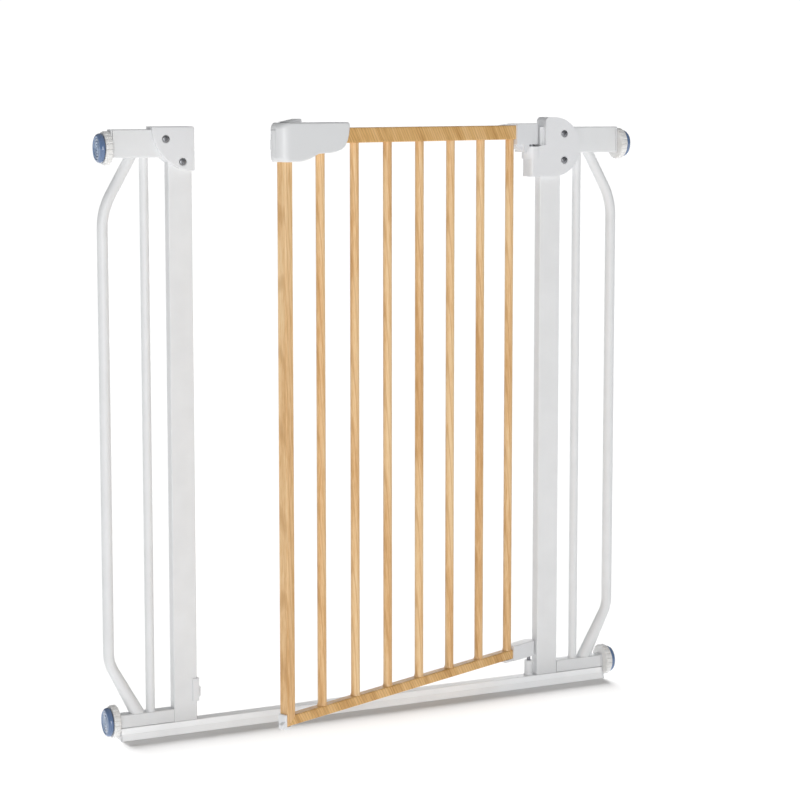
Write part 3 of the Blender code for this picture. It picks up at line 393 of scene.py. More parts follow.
def combine(base, extra, operation):
    """Joins a second shape to the first, or cuts it away."""
    holders = []
    for shape in (base, extra):
        mesh = bpy.data.meshes.new("passing")
        shape.to_mesh(mesh)
        shape.free()
        holder = bpy.data.objects.new("passing", mesh)
        scene.collection.objects.link(holder)
        holders.append(holder)
    step = holders[0].modifiers.new("combine", "BOOLEAN")
    step.operation = operation
    step.object = holders[1]
    step.solver = "EXACT"
    result = bpy.data.meshes.new_from_object(holders[0].evaluated_get(bpy.context.evaluated_depsgraph_get()))
    shape = bmesh.new()
    shape.from_mesh(result)
    bpy.data.meshes.remove(result)
    for holder in holders:
        mesh = holder.data
        bpy.data.objects.remove(holder)
        bpy.data.meshes.remove(mesh)
    bmesh.ops.dissolve_limit(shape, angle_limit=math.radians(0.3), verts=shape.verts, edges=shape.edges)
    return shape


for side, way in (("left", -1), ("right", 1)):
    post = square_tube(*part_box("post_" + side), 2)
    fit_piece("drawn_post_" + side, post, WHITE_PAINT, "frame", ["post_" + side])
    for level in ("top", "bottom"):
        node = "%s_rail_%s" % (level, side)
        low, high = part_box(node)
        spindle_low, spindle_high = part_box("spindle_%s_%s" % (level, side))
        hollow_low = low + Vector((-MM, TUBE_WALL, TUBE_WALL))
        hollow_high = high + Vector((MM, -TUBE_WALL, -TUBE_WALL))
        if way < 0:
            hollow_high.x = spindle_high.x + SPINDLE_ROOM
        else:
            hollow_low.x = spindle_low.x - SPINDLE_ROOM
        rail = combine(square_tube(low, high, 0), block(hollow_low, hollow_high), "DIFFERENCE")
        fit_piece("drawn_" + node, rail, WHITE_PAINT, "frame", [node])


# ---- side tubes ------------------------------------------------------------------------------
# Two round steel tubes on each side, one straight and one bent outwards, welded to both rails.
# The weld bead under the paint widens each foot to a small skirt.
WELD_SKIRT = 4.0 * MM
WELD_SPREAD = 1.16
WELD_OVERLAP = 0.3 * MM             # how far a tube reaches into the rail it is welded to


def turned(profile, foot, direction, steps=48):
    """A turned piece: pairs of radius and height from its foot up, set along a direction."""
    shape = bmesh.new()
    line = [shape.verts.new((radius, 0, height)) for radius, height in profile]
    for first, second in zip(line, line[1:]):
        shape.edges.new((first, second))
    bmesh.ops.spin(
        shape,
        geom=shape.verts[:] + shape.edges[:],
        cent=(0, 0, 0),
        axis=(0, 0, 1),
        angle=math.tau,
        steps=steps,
        use_merge=True,
    )
    bmesh.ops.remove_doubles(shape, verts=shape.verts, dist=SAME_SPOT)
    bmesh.ops.recalc_face_normals(shape, faces=shape.faces)
    turn = Vector((0, 0, 1)).rotation_difference(Vector(direction)).to_matrix()
    bmesh.ops.rotate(shape, cent=(0, 0, 0), matrix=turn, verts=shape.verts)
    bmesh.ops.translate(shape, vec=foot, verts=shape.verts)
    return shape


def upright_tube(low, high, radius):
    """A straight tube that widens to its weld at the foot and meets the upper rail square."""
    foot = Vector(((low.x + high.x) / 2, 0, low.z - WELD_OVERLAP))
    length = high.z - low.z + 2 * WELD_OVERLAP
    spread = radius * WELD_SPREAD
    line = [(0, 0), (spread, 0), (spread * 0.99, 0.5 * MM), (radius * 1.06, 1.8 * MM), (radius, WELD_SKIRT)]
    return turned(line + [(radius, length), (0, length)], foot, (0, 0, 1), 32)


def bend(shape, ring, corner, before, after, radius):
    """Carries the tube's last ring round a bend between two straight runs."""
    angle = before.angle(after)
    inwards = (after - before * before.dot(after)).normalized()
    start = corner - before * radius * math.tan(angle / 2)
    centre = start + inwards * radius
    turned_ring = bmesh.ops.spin(
        shape,
        geom=ring,
        cent=centre,
        axis=before.cross(after),
        angle=angle,
        steps=14,
        use_duplicate=False,
    )["geom_last"]
    return [e for e in turned_ring if isinstance(e, bmesh.types.BMEdge)]


def run_on(shape, ring, distance):
    """Extrudes the tube's last ring straight on."""
    grown = bmesh.ops.extrude_edge_only(shape, edges=ring)["geom"]
    verts = [v for v in grown if isinstance(v, bmesh.types.BMVert)]
    bmesh.ops.translate(shape, vec=distance, verts=verts)
    return [e for e in grown if isinstance(e, bmesh.types.BMEdge)]


BENT_RADIUS = 6.75 * MM
UPPER_BEND = 85 * MM
LOWER_BEND = 45 * MM
UPPER_CORNER_DROP = 63.3 * MM       # underside of the top rail to the upper bend's corner
LOWER_CORNER_RISE = 66.7 * MM       # top of the bottom rail to the lower bend's corner
BENT_FOOT = 46.5 * MM               # post's outer side to the bent tube's ends
OVERRUN = 12 * MM                   # cut off again, flush with the rails
for side, way in (("left", -1), ("right", 1)):
    node = "straight_tube_" + side
    low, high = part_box(node)
    tube = upright_tube(low, high, (high.x - low.x) / 2)
    fit_piece("welded_" + node, tube, WHITE_PAINT, "frame", [node])

    node = "bent_tube_" + side
    low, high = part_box(node)
    post_low, post_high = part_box("post_" + side)
    foot_x = (post_low.x if way < 0 else post_high.x) + way * BENT_FOOT
    upright_x = (low.x if way < 0 else high.x) - way * BENT_RADIUS
    top = Vector((foot_x, 0, high.z))
    bottom = Vector((foot_x, 0, low.z))
    upper = Vector((upright_x, 0, high.z - UPPER_CORNER_DROP))
    lower = Vector((upright_x, 0, low.z + LOWER_CORNER_RISE))
    outwards = (upper - top).normalized()
    down = (lower - upper).normalized()
    inwards = (bottom - lower).normalized()
    upper_room = UPPER_BEND * math.tan(outwards.angle(down) / 2)
    lower_room = LOWER_BEND * math.tan(down.angle(inwards) / 2)
    tube = bmesh.new()
    ring = bmesh.ops.create_circle(tube, cap_ends=False, radius=BENT_RADIUS, segments=32)["verts"]
    lean = Vector((0, 0, 1)).rotation_difference(outwards).to_matrix()
    bmesh.ops.rotate(tube, cent=(0, 0, 0), matrix=lean, verts=ring)
    bmesh.ops.translate(tube, vec=top - outwards * OVERRUN, verts=ring)
    ring = run_on(tube, tube.edges[:], outwards * ((upper - top).length - upper_room + OVERRUN))
    ring = bend(tube, ring, upper, outwards, down, UPPER_BEND)
    ring = run_on(tube, ring, down * ((lower - upper).length - upper_room - lower_room))
    ring = bend(tube, ring, lower, down, inwards, LOWER_BEND)
    run_on(tube, ring, inwards * ((bottom - lower).length - lower_room + OVERRUN))
    for level, way_up in ((high.z + WELD_OVERLAP, 1), (low.z - WELD_OVERLAP, -1)):
        bmesh.ops.bisect_plane(
            tube,
            geom=tube.verts[:] + tube.edges[:] + tube.faces[:],
            plane_co=(0, 0, level),
            plane_no=(0, 0, way_up),
            clear_outer=True,
        )
        skirts = ((0.0, WELD_SPREAD), (0.9 * MM, 1.09), (2.0 * MM, 1.03), (WELD_SKIRT, 1.0))
        for height, spread in skirts if way_up < 0 else ():
            cut_level = level - way_up * height
            if height:
                bmesh.ops.bisect_plane(
                    tube,
                    geom=tube.verts[:] + tube.edges[:] + tube.faces[:],
                    plane_co=(0, 0, cut_level),
                    plane_no=(0, 0, way_up),
                )
            skirt = [v for v in tube.verts if abs(v.co.z - cut_level) < HAIR]
            middle = sum((v.co for v in skirt), Vector()) / len(skirt)
            bmesh.ops.scale(tube, vec=(spread, spread, 1), space=Matrix.Translation(-middle), verts=skirt)
        rim = [e for e in tube.edges if e.is_boundary and abs(e.verts[0].co.z - level) < HAIR]
        bmesh.ops.holes_fill(tube, edges=rim, sides=0)
    fit_piece("welded_" + node, tube, WHITE_PAINT, "frame", [node])


# ---- pressure mounts: plugs, handwheels, spindles and wall pads ------------------------------
# In each corner a moulded plug closes the rail and guides a threaded zinc-plated spindle.  The
# ribbed handwheel winds it out, until the rubber pad in its cup presses on the wall.
def zinc_plated_steel():
    """Bright zinc on turned steel: a grey mirror dulled by fine turning marks."""
    made, tree, shader, place = start_surface("zinc_plated_steel", "8A8B8F", 0.34, metallic=1.0)
    marks = add_node(
        tree, "ShaderNodeTexNoise", inputs={"Vector": place, "Scale": 1 / (1.2 * MM), "Detail": 4.0}
    )
    gloss = add_node(
        tree, "ShaderNodeMapRange", inputs={"Value": marks.outputs["Fac"], "To Min": 0.24, "To Max": 0.46}
    )
    bump = add_node(
        tree,
        "ShaderNodeBump",
        inputs={"Height": marks.outputs["Fac"], "Distance": 0.02 * MM, "Strength": 0.3},
    )
    tree.links.new(gloss.outputs["Result"], shader.inputs["Roughness"])
    tree.links.new(bump.outputs["Normal"], shader.inputs["Normal"])
    return made


def warm_white_nylon():
    """Moulded nylon: a warmer white than the paint, matt, with faint darker moulding flow."""
    made, tree, shader, place = start_surface("warm_white_nylon", "ECECEA", 0.45, ior=1.53)
    flow = add_node(
        tree, "ShaderNodeTexNoise", inputs={"Vector": place, "Scale": 1 / (9 * MM), "Detail": 3.0}
    )
    tint = add_node(tree, "ShaderNodeValToRGB", inputs={"Fac": flow.outputs["Fac"]})
    for stop, (spot, shade) in zip(tint.color_ramp.elements, ((0.35, "E6E5E3"), (0.62, "EFEFEE"))):
        stop.position, stop.color = spot, linear(shade)
    bump = add_node(
        tree, "ShaderNodeBump", inputs={"Height": flow.outputs["Fac"], "Distance": 0.04 * MM, "Strength": 0.3}
    )
    tree.links.new(tint.outputs["Color"], shader.inputs["Base Color"])
    tree.links.new(bump.outputs["Normal"], shader.inputs["Normal"])
    return made


def blue_grey_rubber():
    """Translucent blue-grey elastomer, moulded glossy: painted highlights at its centre and on its rings,
    painted shade towards the rim.
    """
    made, tree, shader, place = start_surface("blue_grey_elastomer", "7F96B4", 0.16, ior=1.52)
    reach = add_node(tree, "ShaderNodeAttribute", {"attribute_name": "from_centre"})
    cloud = add_node(
        tree, "ShaderNodeTexNoise", inputs={"Vector": place, "Scale": 1 / (4 * MM), "Detail": 3.0}
    )
    drift = add_node(
        tree,
        "ShaderNodeMath",
        {"operation": "MULTIPLY_ADD"},
        {0: cloud.outputs["Fac"], 1: 0.16, 2: reach.outputs["Fac"]},
    )
    # Distance from the pad's middle, with a little random cloud, picks the colour: a painted highlight at the
    # centre and on every other ring, painted shade on the rings between, darkest at the rim.
    tint = add_node(tree, "ShaderNodeValToRGB", inputs={"Fac": drift.outputs[0]})
    ramp = tint.color_ramp
    for stop, (spot, shade) in zip(ramp.elements, ((0.10, "C2D0E2"), (1.0, "5E769C"))):
        stop.position, stop.color = spot, linear(shade)
    between = ((0.24, "7F98BA"), (0.42, "9DB0CB"), (0.60, "7189AC"), (0.78, "93A8C6"), (0.93, "6781A8"))
    for spot, shade in between:
        ramp.elements.new(spot).color = linear(shade)
    shader.inputs["Coat Weight"].default_value = 0.6
    shader.inputs["Coat Roughness"].default_value = 0.06
    tree.links.new(tint.outputs["Color"], shader.inputs["Base Color"])
    return made


ZINC = (zinc_plated_steel(), "screw_steel")
NYLON = (warm_white_nylon(), "warm_white_plastic")
ELASTOMER = (blue_grey_rubber(), "pad_rubber")
CORNERS = (("top", "left", -1), ("top", "right", 1), ("bottom", "left", -1), ("bottom", "right", 1))
FLANGE_GAP = 0.5 * MM
PLUG_BORE = 5.0 * MM
WHEEL_BORE = 4.9 * MM
WHEEL_RIBS = 20
RIB_GROOVE = 1.2 * MM
RIB_SHARE = 0.55                    # how much of the wave between two ribs stays at full height
STEPS_A_RIB = 10
SPINDLE_RADIUS = 4.5 * MM
THREAD_PITCH = 1.5 * MM
THREAD_DEPTH = 0.6 * MM
CUP_THICKNESS = 1.7 * MM
CUP_RECESS_RADIUS = 16.3 * MM
CUP_RECESS_DEPTH = 2.0 * MM
PAD_SHOULDER = 1.8 * MM
PAD_RINGS = 3
PAD_RING_PITCH = 3.8 * MM


def mount_foot(low, high, way):
    """The middle of a mount's piece, at its end towards the gate."""
    return Vector((high.x if way < 0 else low.x, 0, (low.z + high.z) / 2))


def ribbed_wheel(low, high, way):
    """The handwheel: a turned blank whose gripping face is then grooved between its ribs."""
    radius = (high.z - low.z) / 2
    width = high.x - low.x
    blank = [
        (WHEEL_BORE, 0), (radius - 2.6 * MM, 0), (radius - 1.2 * MM, 0.4 * MM), (radius, 1.4 * MM),
        (radius, width * 0.5), (radius, width - 2.4 * MM), (radius - 0.5 * MM, width - 2.0 * MM),
        (radius - 1.1 * MM, width - 1.8 * MM), (radius - 0.9 * MM, width - 1.3 * MM),
        (radius - 0.9 * MM, width - 0.4 * MM), (radius - 1.4 * MM, width), (radius - 3.6 * MM, width),
        (radius - 4.2 * MM, width - 0.5 * MM), (WHEEL_BORE, width - 0.5 * MM), (WHEEL_BORE, 0),
    ]
    foot = mount_foot(low, high, way)
    wheel = turned(blank, foot, (way, 0, 0), WHEEL_RIBS * STEPS_A_RIB)
    for vert in wheel.verts:
        spoke = Vector((0, vert.co.y, vert.co.z - foot.z))
        if spoke.length > radius - MM:
            wave = math.cos(WHEEL_RIBS * math.atan2(spoke.y, spoke.z))
            groove = max(0.0, (wave - RIB_SHARE) / (1 - RIB_SHARE)) ** 0.6
            vert.co -= spoke.normalized() * RIB_GROOVE * groove
    return wheel


def threaded_spindle(low, high, way):
    """The spindle: rolled thread, then the flat cup that holds the pad."""
    root = SPINDLE_RADIUS - THREAD_DEPTH
    cup_radius = (high.z - low.z) / 2
    length = high.x - low.x - CUP_THICKNESS
    end = length + CUP_THICKNESS
    turns = int((length - 4 * MM) / THREAD_PITCH)
    profile = [(0, 0), (SPINDLE_RADIUS - 1.2 * MM, 0)]
    for number in range(turns):
        start = MM + number * THREAD_PITCH
        profile += [(root, start), (SPINDLE_RADIUS, start + 0.6 * MM), (SPINDLE_RADIUS, start + 0.9 * MM)]
    profile += [
        (root, MM + turns * THREAD_PITCH), (root, length), (cup_radius - 0.4 * MM, length),
        (cup_radius, length + 0.4 * MM), (cup_radius, end), (0, end),
    ]
    return turned(profile, mount_foot(low, high, way), (way, 0, 0), 32)


def ringed_pad(low, high, way):
    """The pad: a recess for the cup, a round shoulder, then a dished face with raised rings."""
    radius = (high.z - low.z) / 2
    depth = high.x - low.x
    profile = [
        (0, CUP_RECESS_DEPTH), (CUP_RECESS_RADIUS, CUP_RECESS_DEPTH), (CUP_RECESS_RADIUS, 0),
        (radius - 1.4 * MM, 0), (radius - 0.5 * MM, 0.7 * MM), (radius, PAD_SHOULDER),
    ]
    for angle in (15, 35, 55, 75, 90):
        turn = math.radians(angle)
        inset = 3.6 * MM * (1 - math.cos(turn))
        profile.append((radius - inset, PAD_SHOULDER + (depth - PAD_SHOULDER) * math.sin(turn)))
    for number in range(PAD_RINGS):
        outer = radius - 4.2 * MM - number * PAD_RING_PITCH
        profile += [
            (outer, depth - 0.9 * MM), (outer - 0.7 * MM, depth - 1.1 * MM),
            (outer - 1.5 * MM, depth - 0.5 * MM), (outer - 2.9 * MM, depth - 0.4 * MM),
        ]
    profile += [(2.0 * MM, depth - 1.2 * MM), (1.2 * MM, depth - 0.7 * MM), (0, depth - 0.6 * MM)]
    return turned(profile, mount_foot(low, high, way), (way, 0, 0), 64)


def rod(radius, length, foot, direction=(0, 0, 1), steps=32):
    """A plain cylinder, to join or to cut away."""
    return turned([(0, 0), (radius, 0), (radius, length), (0, length)], foot, direction, steps)


for level, side, way in CORNERS:
    corner = level + "_" + side
    rail_low, rail_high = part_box("%s_rail_%s" % (level, side))
    plug_low, plug_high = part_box("rail_plug_" + corner)
    flange_low = Vector((plug_low.x if way < 0 else rail_high.x + FLANGE_GAP, rail_low.y, rail_low.z))
    flange_high = Vector((rail_low.x - FLANGE_GAP if way < 0 else plug_high.x, rail_high.y, rail_high.z))
    axis_z = (plug_low.z + plug_high.z) / 2
    bore = rod(PLUG_BORE, 30 * MM, (flange_low.x - 15 * MM, 0, axis_z), (1, 0, 0))
    flange = combine(square_tube(flange_low, flange_high, 0), bore, "DIFFERENCE")
    fit_piece("flange_" + corner, flange, WHITE_PLASTIC, "frame", ["rail_plug_" + corner])

    wheel = ribbed_wheel(*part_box("handwheel_" + corner), way)
    fit_piece("ribbed_wheel_" + corner, wheel, NYLON, "wheel_" + corner, ["handwheel_" + corner], 50)
    spindle = threaded_spindle(*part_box("spindle_" + corner), way)
    fit_piece("threaded_spindle_" + corner, spindle, ZINC, "spindle_" + corner, ["spindle_" + corner])
    low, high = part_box("wall_pad_" + corner)
    pad = ringed_pad(low, high, way)
    pad = fit_piece("rubber_pad_" + corner, pad, ELASTOMER, "spindle_" + corner, ["wall_pad_" + corner], 50)
    # The pad's distance from its middle, which the elastomer reads to paint its highlight rings and its
    # shaded rim.
    reach = pad.data.attributes.new("from_centre", "FLOAT", "POINT")
    axis_z = (low.z + high.z) / 2
    for vert, value in zip(pad.data.vertices, reach.data):
        value.value = math.hypot(vert.co.y, vert.co.z - axis_z) / ((high.z - low.z) / 2)


# ---- keeper covers and their screws ----------------------------------------------------------
# Two moulded quarter discs close round the top of the latch post and take the bolt.  Their outer edges are
# rounded, and two pan-head screws pull the front cover to the back one.
COVER_EDGE = 1.4 * MM


def arc(centre, radius, start, end, steps):
    """Points on an arc, with its angles in degrees."""
    points = []
    for step in range(steps + 1):
        angle = math.radians(start + (end - start) * step / steps)
        points.append((centre[0] + radius * math.cos(angle), centre[1] + radius * math.sin(angle)))
    return points


def screw_dimple(node, half_depth, way):
    """The shallow round hollow that a screw's head sits in."""
    low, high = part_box(node)
    head = (low + high) / 2
    hollow = [
        (0, 0), (4.8 * MM, 0), (4.9 * MM, 1.4 * MM), (5.9 * MM, 2.2 * MM), (5.9 * MM, 5 * MM), (0, 5 * MM)
    ]
    return turned(hollow, Vector((head.x, way * (half_depth - 1.9 * MM), head.z)), (0, way, 0), 32)


def parting_and_face(low, high, way):
    """The levels of a shell's parting plane and of its outer face; way is -1 for the front one."""
    return (high.y, low.y) if way < 0 else (low.y, high.y)


low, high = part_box("keeper_cover_front")
corner = Vector((high.x, 0, high.z))
keeper_radius = high.x - low.x
round_in = 3.0 * MM
keeper_outline = [
    *arc((corner.x - round_in, corner.z - round_in), round_in, 0, 90, 5),
    *arc((corner.x, corner.z), keeper_radius, 180, 266, 28),
    *arc((corner.x - 2 * MM, corner.z - keeper_radius + 2.2 * MM), 2 * MM, -90, 0, 5),
]
bolt_low, bolt_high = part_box("latch_bolt")
BOLT_FACE = 10.6 * MM               # back face of the bolt from the door's middle plane
BOLT_THICKNESS = 2.4 * MM
BOLT_TRAVEL = 6 * MM
BOLT_GAP = 0.4 * MM
DOOR_LIFT = 8 * MM
for face, way in (("front", -1), ("back", 1)):
    node = "keeper_cover_" + face
    inner, outer = parting_and_face(*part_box(node), way)
    shell = extruded(keeper_outline, inner, outer, 1)
    round_off(shell, edges_on(shell, 1, outer), COVER_EDGE)
    if way < 0:
        for name in ("keeper_screw_upper", "keeper_screw_lower"):
            shell = combine(shell, screw_dimple(name, -outer, way), "DIFFERENCE")
    else:
        slot = block(
            (corner.x - BOLT_TRAVEL - BOLT_GAP, BOLT_FACE - BOLT_THICKNESS - BOLT_GAP, bolt_low.z - MM),
            (corner.x + MM, BOLT_FACE + BOLT_GAP, bolt_high.z + DOOR_LIFT + MM),
        )
        shell = combine(shell, slot, "DIFFERENCE")
    fit_piece("moulded_" + node, shell, WHITE_PLASTIC, "frame", [node])


def cross_screw(node):
    """A pan-head screw: domed head with a cross recess, and a plain shank to the other cover."""
    low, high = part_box(node)
    middle = (low + high) / 2
    radius = (high.x - low.x) / 2
    shank = 1.8 * MM
    rise = 1.6 * MM
    seat = low.y + rise
    length = high.y - seat
    profile = [(0, -length), (shank, -length), (shank, 0), (radius - 0.2 * MM, 0), (radius, 0.2 * MM)]
    for step in range(1, 9):
        turn = math.radians(90 * step / 8)
        profile.append((radius * math.cos(turn), 0.4 * MM + (rise - 0.4 * MM) * math.sin(turn)))
    profile[-1] = (0, rise)
    screw = turned(profile, (middle.x, seat, middle.z), (0, -1, 0), 40)
    deep = seat - 0.5 * MM
    for wide, tall in ((2.6 * MM, 0.5 * MM), (0.5 * MM, 2.6 * MM)):
        recess = block(
            (middle.x - wide, low.y - MM, middle.z - tall), (middle.x + wide, deep, middle.z + tall)
        )
        bmesh.ops.rotate(
            recess, cent=middle, matrix=Matrix.Rotation(math.radians(28), 3, "Y"), verts=recess.verts
        )
        screw = combine(screw, recess, "DIFFERENCE")
    return screw


for node in ("keeper_screw_upper", "keeper_screw_lower", "hinge_screw_upper", "hinge_screw_lower"):
    fit_piece("cross_head_" + node, cross_screw(node), ZINC, "frame", [node])


# ---- upper hinge covers ----------------------------------------------------------------------
# Two moulded D-shaped shells close round the top of the hinge post, screwed from the front.  Their
# lower left corner swells to the barrel that the hinge pin stands in, with a sloping top.
BARREL_RIGHT = 243.6 * MM
BARREL_TOP = 722.5 * MM
BARREL_SLOPE = 9 * MM
BARREL_BORE = 3.9 * MM
COVER_LEFT = 249.5 * MM
COVER_ROUND = 5.5 * MM
BOSS_RADIUS = 13.4 * MM
BOSS_TOP = 729.4 * MM
BOSS_HEIGHT = 16 * MM
low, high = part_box("hinge_cover_front")
cover_radius = (high.z - low.z) / 2
hinge_outline = [
    (low.x, low.z),
    *arc((high.x - cover_radius, (high.z + low.z) / 2), cover_radius, -90, 90, 40),
    *arc((COVER_LEFT + COVER_ROUND, high.z - COVER_ROUND), COVER_ROUND, 90, 180, 8),
    (COVER_LEFT, BARREL_TOP + BARREL_SLOPE),
    (BARREL_RIGHT, BARREL_TOP + BARREL_SLOPE),
    (low.x, BARREL_TOP),
]
pin_low, pin_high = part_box("upper_hinge_pin")
pin_x = (pin_low.x + pin_high.x) / 2
for face, way in (("front", -1), ("back", 1)):
    node = "hinge_cover_" + face
    inner, outer = parting_and_face(*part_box(node), way)
    shell = extruded(hinge_outline, inner, outer, 1)
    for x, width, segments in ((low.x, 5.0 * MM, 7), (COVER_LEFT, 3.2 * MM, 6)):
        corners = [e for e in edges_on(shell, 1, outer) if all(abs(v.co.x - x) < HAIR for v in e.verts)]
        round_off(shell, corners, width, segments)
    rims = [
        e for e in edges_on(shell, 1, outer)
        if len(e.link_faces) == 2 and e.calc_face_angle(0) > math.radians(60)
    ]
    round_off(shell, rims, 1.2 * MM)
    boss = rod(BOSS_RADIUS, BOSS_HEIGHT, (pin_x, 0, BOSS_TOP - BOSS_HEIGHT), steps=48)
    near_half = block(
        (pin_x - 20 * MM, min(0, way * 20 * MM), BOSS_TOP - 20 * MM),
        (pin_x + 20 * MM, max(0, way * 20 * MM), BOSS_TOP + MM),
    )
    bmesh.ops.translate(near_half, vec=(0, inner, 0), verts=near_half.verts)
    shell = combine(shell, combine(boss, near_half, "INTERSECT"), "UNION")
    shell = combine(shell, rod(BARREL_BORE, 60 * MM, (pin_x, 0, low.z - 10 * MM)), "DIFFERENCE")
    if way < 0:
        for name in ("hinge_screw_upper", "hinge_screw_lower"):
            shell = combine(shell, screw_dimple(name, -outer, way), "DIFFERENCE")
    fit_piece("moulded_" + node, shell, WHITE_PLASTIC, "frame", [node])


# ---- hinge pins and lower sleeve -------------------------------------------------------------
# Turned steel pins carry the door: the upper one turns in the barrel, the lower one in a short
# sleeve that is welded to the threshold and painted with it.
PIN_EDGE = 0.5 * MM
SLEEVE_BORE = 2.8 * MM
for node in ("upper_hinge_pin", "lower_hinge_pin"):
    low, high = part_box(node)
    radius, length = (high.x - low.x) / 2, high.z - low.z
    profile = [
        (0, 0), (radius - PIN_EDGE, 0), (radius, PIN_EDGE),
        (radius, length - PIN_EDGE), (radius - PIN_EDGE, length), (0, length),
    ]
    pin = turned(profile, (pin_x, 0, low.z), (0, 0, 1), 32)
    fit_piece("turned_" + node, pin, ZINC, "hinge_pins", [node])

low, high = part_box("lower_hinge_sleeve")
radius, length = (high.x - low.x) / 2, high.z - low.z
sleeve_profile = [
    (SLEEVE_BORE, 0), (radius + 0.9 * MM, 0), (radius + 0.2 * MM, 0.9 * MM), (radius, 2.2 * MM),
    (radius, length - 0.7 * MM), (radius - 0.7 * MM, length),
    (SLEEVE_BORE + 0.4 * MM, length), (SLEEVE_BORE, length - 0.4 * MM), (SLEEVE_BORE, 0),
]
sleeve = turned(sleeve_profile, (pin_x, 0, low.z), (0, 0, 1), 40)
fit_piece("welded_sleeve", sleeve, WHITE_PAINT, "frame", ["lower_hinge_sleeve"])


# ---- catch clip on the latch post ------------------------------------------------------------
# A moulded clip grips the post near the floor.  Its hook stops the door's lower corner.
CLIP_WALL = 1.8 * MM
low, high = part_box("post_catch_clip")
post_low, post_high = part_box("post_left")
face_x = post_high.x + 0.3 * MM
clip_outline = [
    (low.x, low.y), (face_x + CLIP_WALL, low.y), (face_x + CLIP_WALL, high.y), (low.x, high.y),
    (low.x, high.y - CLIP_WALL), (face_x, high.y - CLIP_WALL),
    (face_x, low.y + CLIP_WALL), (low.x, low.y + CLIP_WALL),
]
clip = extruded(clip_outline, low.z, high.z, 2)
hook_root = face_x + CLIP_WALL / 2
hook_outline = [
    (hook_root, low.z + 1.8 * MM), (high.x - 2.0 * MM, low.z + 1.8 * MM),
    (high.x - 0.6 * MM, low.z + 2.6 * MM), (high.x, low.z + 4.2 * MM), (high.x, low.z + 14.8 * MM),
    (high.x - 2.2 * MM, low.z + 14.8 * MM), (high.x - 2.8 * MM, low.z + 10.4 * MM),
    (high.x - 4.2 * MM, low.z + 9.4 * MM), (hook_root, low.z + 9.4 * MM),
]
hook = extruded(hook_outline, 1.0 * MM, 7.5 * MM, 1)
clip = combine(clip, hook, "UNION")
round_off(clip, edges_on(clip, 1, low.y), 0.5 * MM, 3)
fit_piece("moulded_catch_clip", clip, WHITE_PLASTIC, "frame", ["post_catch_clip"])


# ---- door frame and bars ---------------------------------------------------------------------
# Thin steel tube wrapped in an oak-print film: two rails, a free stile mitred to the lower rail, and
# seven bars that are welded between the rails.  It is made shut and then turned to where it stands.
swing = next(joint for joint in frame["joints"] if joint["name"] == "door_swing")
HINGE = Vector(swing["pos_m"])
STANDS_OPEN = Matrix.Rotation(-math.radians(swing["range_deg"][0]), 3, "Z")


def door_box(node):
    """A door node's lowest and highest corners with the door shut and the hinge axis at zero."""
    shut = STANDS_OPEN.inverted()
    spots = [shut @ (v.co - HINGE) for v in frame["nodes"][node].data.vertices]
    low = Vector([min(spot[axis] for spot in spots) for axis in range(3)])
    high = Vector([max(spot[axis] for spot in spots) for axis in range(3)])
    return low, high


def hang(shape):
    """Turns a shape made on the shut door to the open door's place."""
    bmesh.ops.rotate(shape, cent=(0, 0, 0), matrix=STANDS_OPEN, verts=shape.verts)
    bmesh.ops.translate(shape, vec=HINGE, verts=shape.verts)
    return shape


def oak_print_film(name, tilt, spacing, shades):
    """Printed oak film on steel: satin, with fine fibres, thin slanting growth lines and dark pores."""
    made, tree, shader, place = start_surface(name, shades[1], 0.42)
    lean = (0, math.radians(tilt), math.radians(20))
    fibre_space, ring_space = [
        add_node(
            tree,
            "ShaderNodeMapping",
            {"vector_type": "TEXTURE"},
            {"Vector": place, "Rotation": lean, "Scale": (1, 1, stretch)},
        ).outputs[0]
        for stretch in (20, 7)
    ]
    fibres = add_node(
        tree,
        "ShaderNodeTexNoise",
        inputs={"Vector": fibre_space, "Scale": 1 / (1.4 * MM), "Detail": 4.0, "Roughness": 0.65},
    )
    drift = add_node(
        tree, "ShaderNodeTexNoise", inputs={"Vector": fibre_space, "Scale": 1 / (14 * MM), "Detail": 1.0}
    )
    rings = add_node(
        tree,
        "ShaderNodeTexWave",
        {"wave_type": "BANDS", "bands_direction": "X"},
        {
            "Vector": ring_space,
            "Scale": WAVE_LENGTH / spacing,
            "Distortion": 5.0,
            "Detail": 2.0,
            "Detail Scale": 0.35,
        },
    )
    half_drift = add_node(
        tree, "ShaderNodeMath", {"operation": "MULTIPLY"}, {0: drift.outputs["Fac"], 1: 0.5}
    )
    body = add_node(
        tree,
        "ShaderNodeMath",
        {"operation": "MULTIPLY_ADD"},
        {0: fibres.outputs["Fac"], 1: 0.5, 2: half_drift.outputs[0]},
    )
    wood = add_node(tree, "ShaderNodeValToRGB", inputs={"Fac": body.outputs[0]})
    ramp = wood.color_ramp
    for stop, (spot, shade) in zip(ramp.elements, ((0.38, shades[0]), (0.62, shades[2]))):
        stop.position, stop.color = spot, linear(shade)
    ramp.elements.new(0.5).color = linear(shades[1])
    line = add_node(
        tree,
        "ShaderNodeMapRange",
        inputs={"Value": rings.outputs["Fac"], "From Max": 0.22, "To Min": 0.36, "To Max": 0.0},
    )
    surface = add_node(
        tree,
        "ShaderNodeMix",
        {"data_type": "RGBA"},
        {0: line.outputs["Result"], 6: wood.outputs["Color"], 7: linear(shades[3])},
    )
    bump = add_node(
        tree,
        "ShaderNodeBump",
        inputs={"Height": fibres.outputs["Fac"], "Distance": 0.05 * MM, "Strength": 0.4},
    )
    tree.links.new(surface.outputs[2], shader.inputs["Base Color"])
    tree.links.new(bump.outputs["Normal"], shader.inputs["Normal"])
    return made


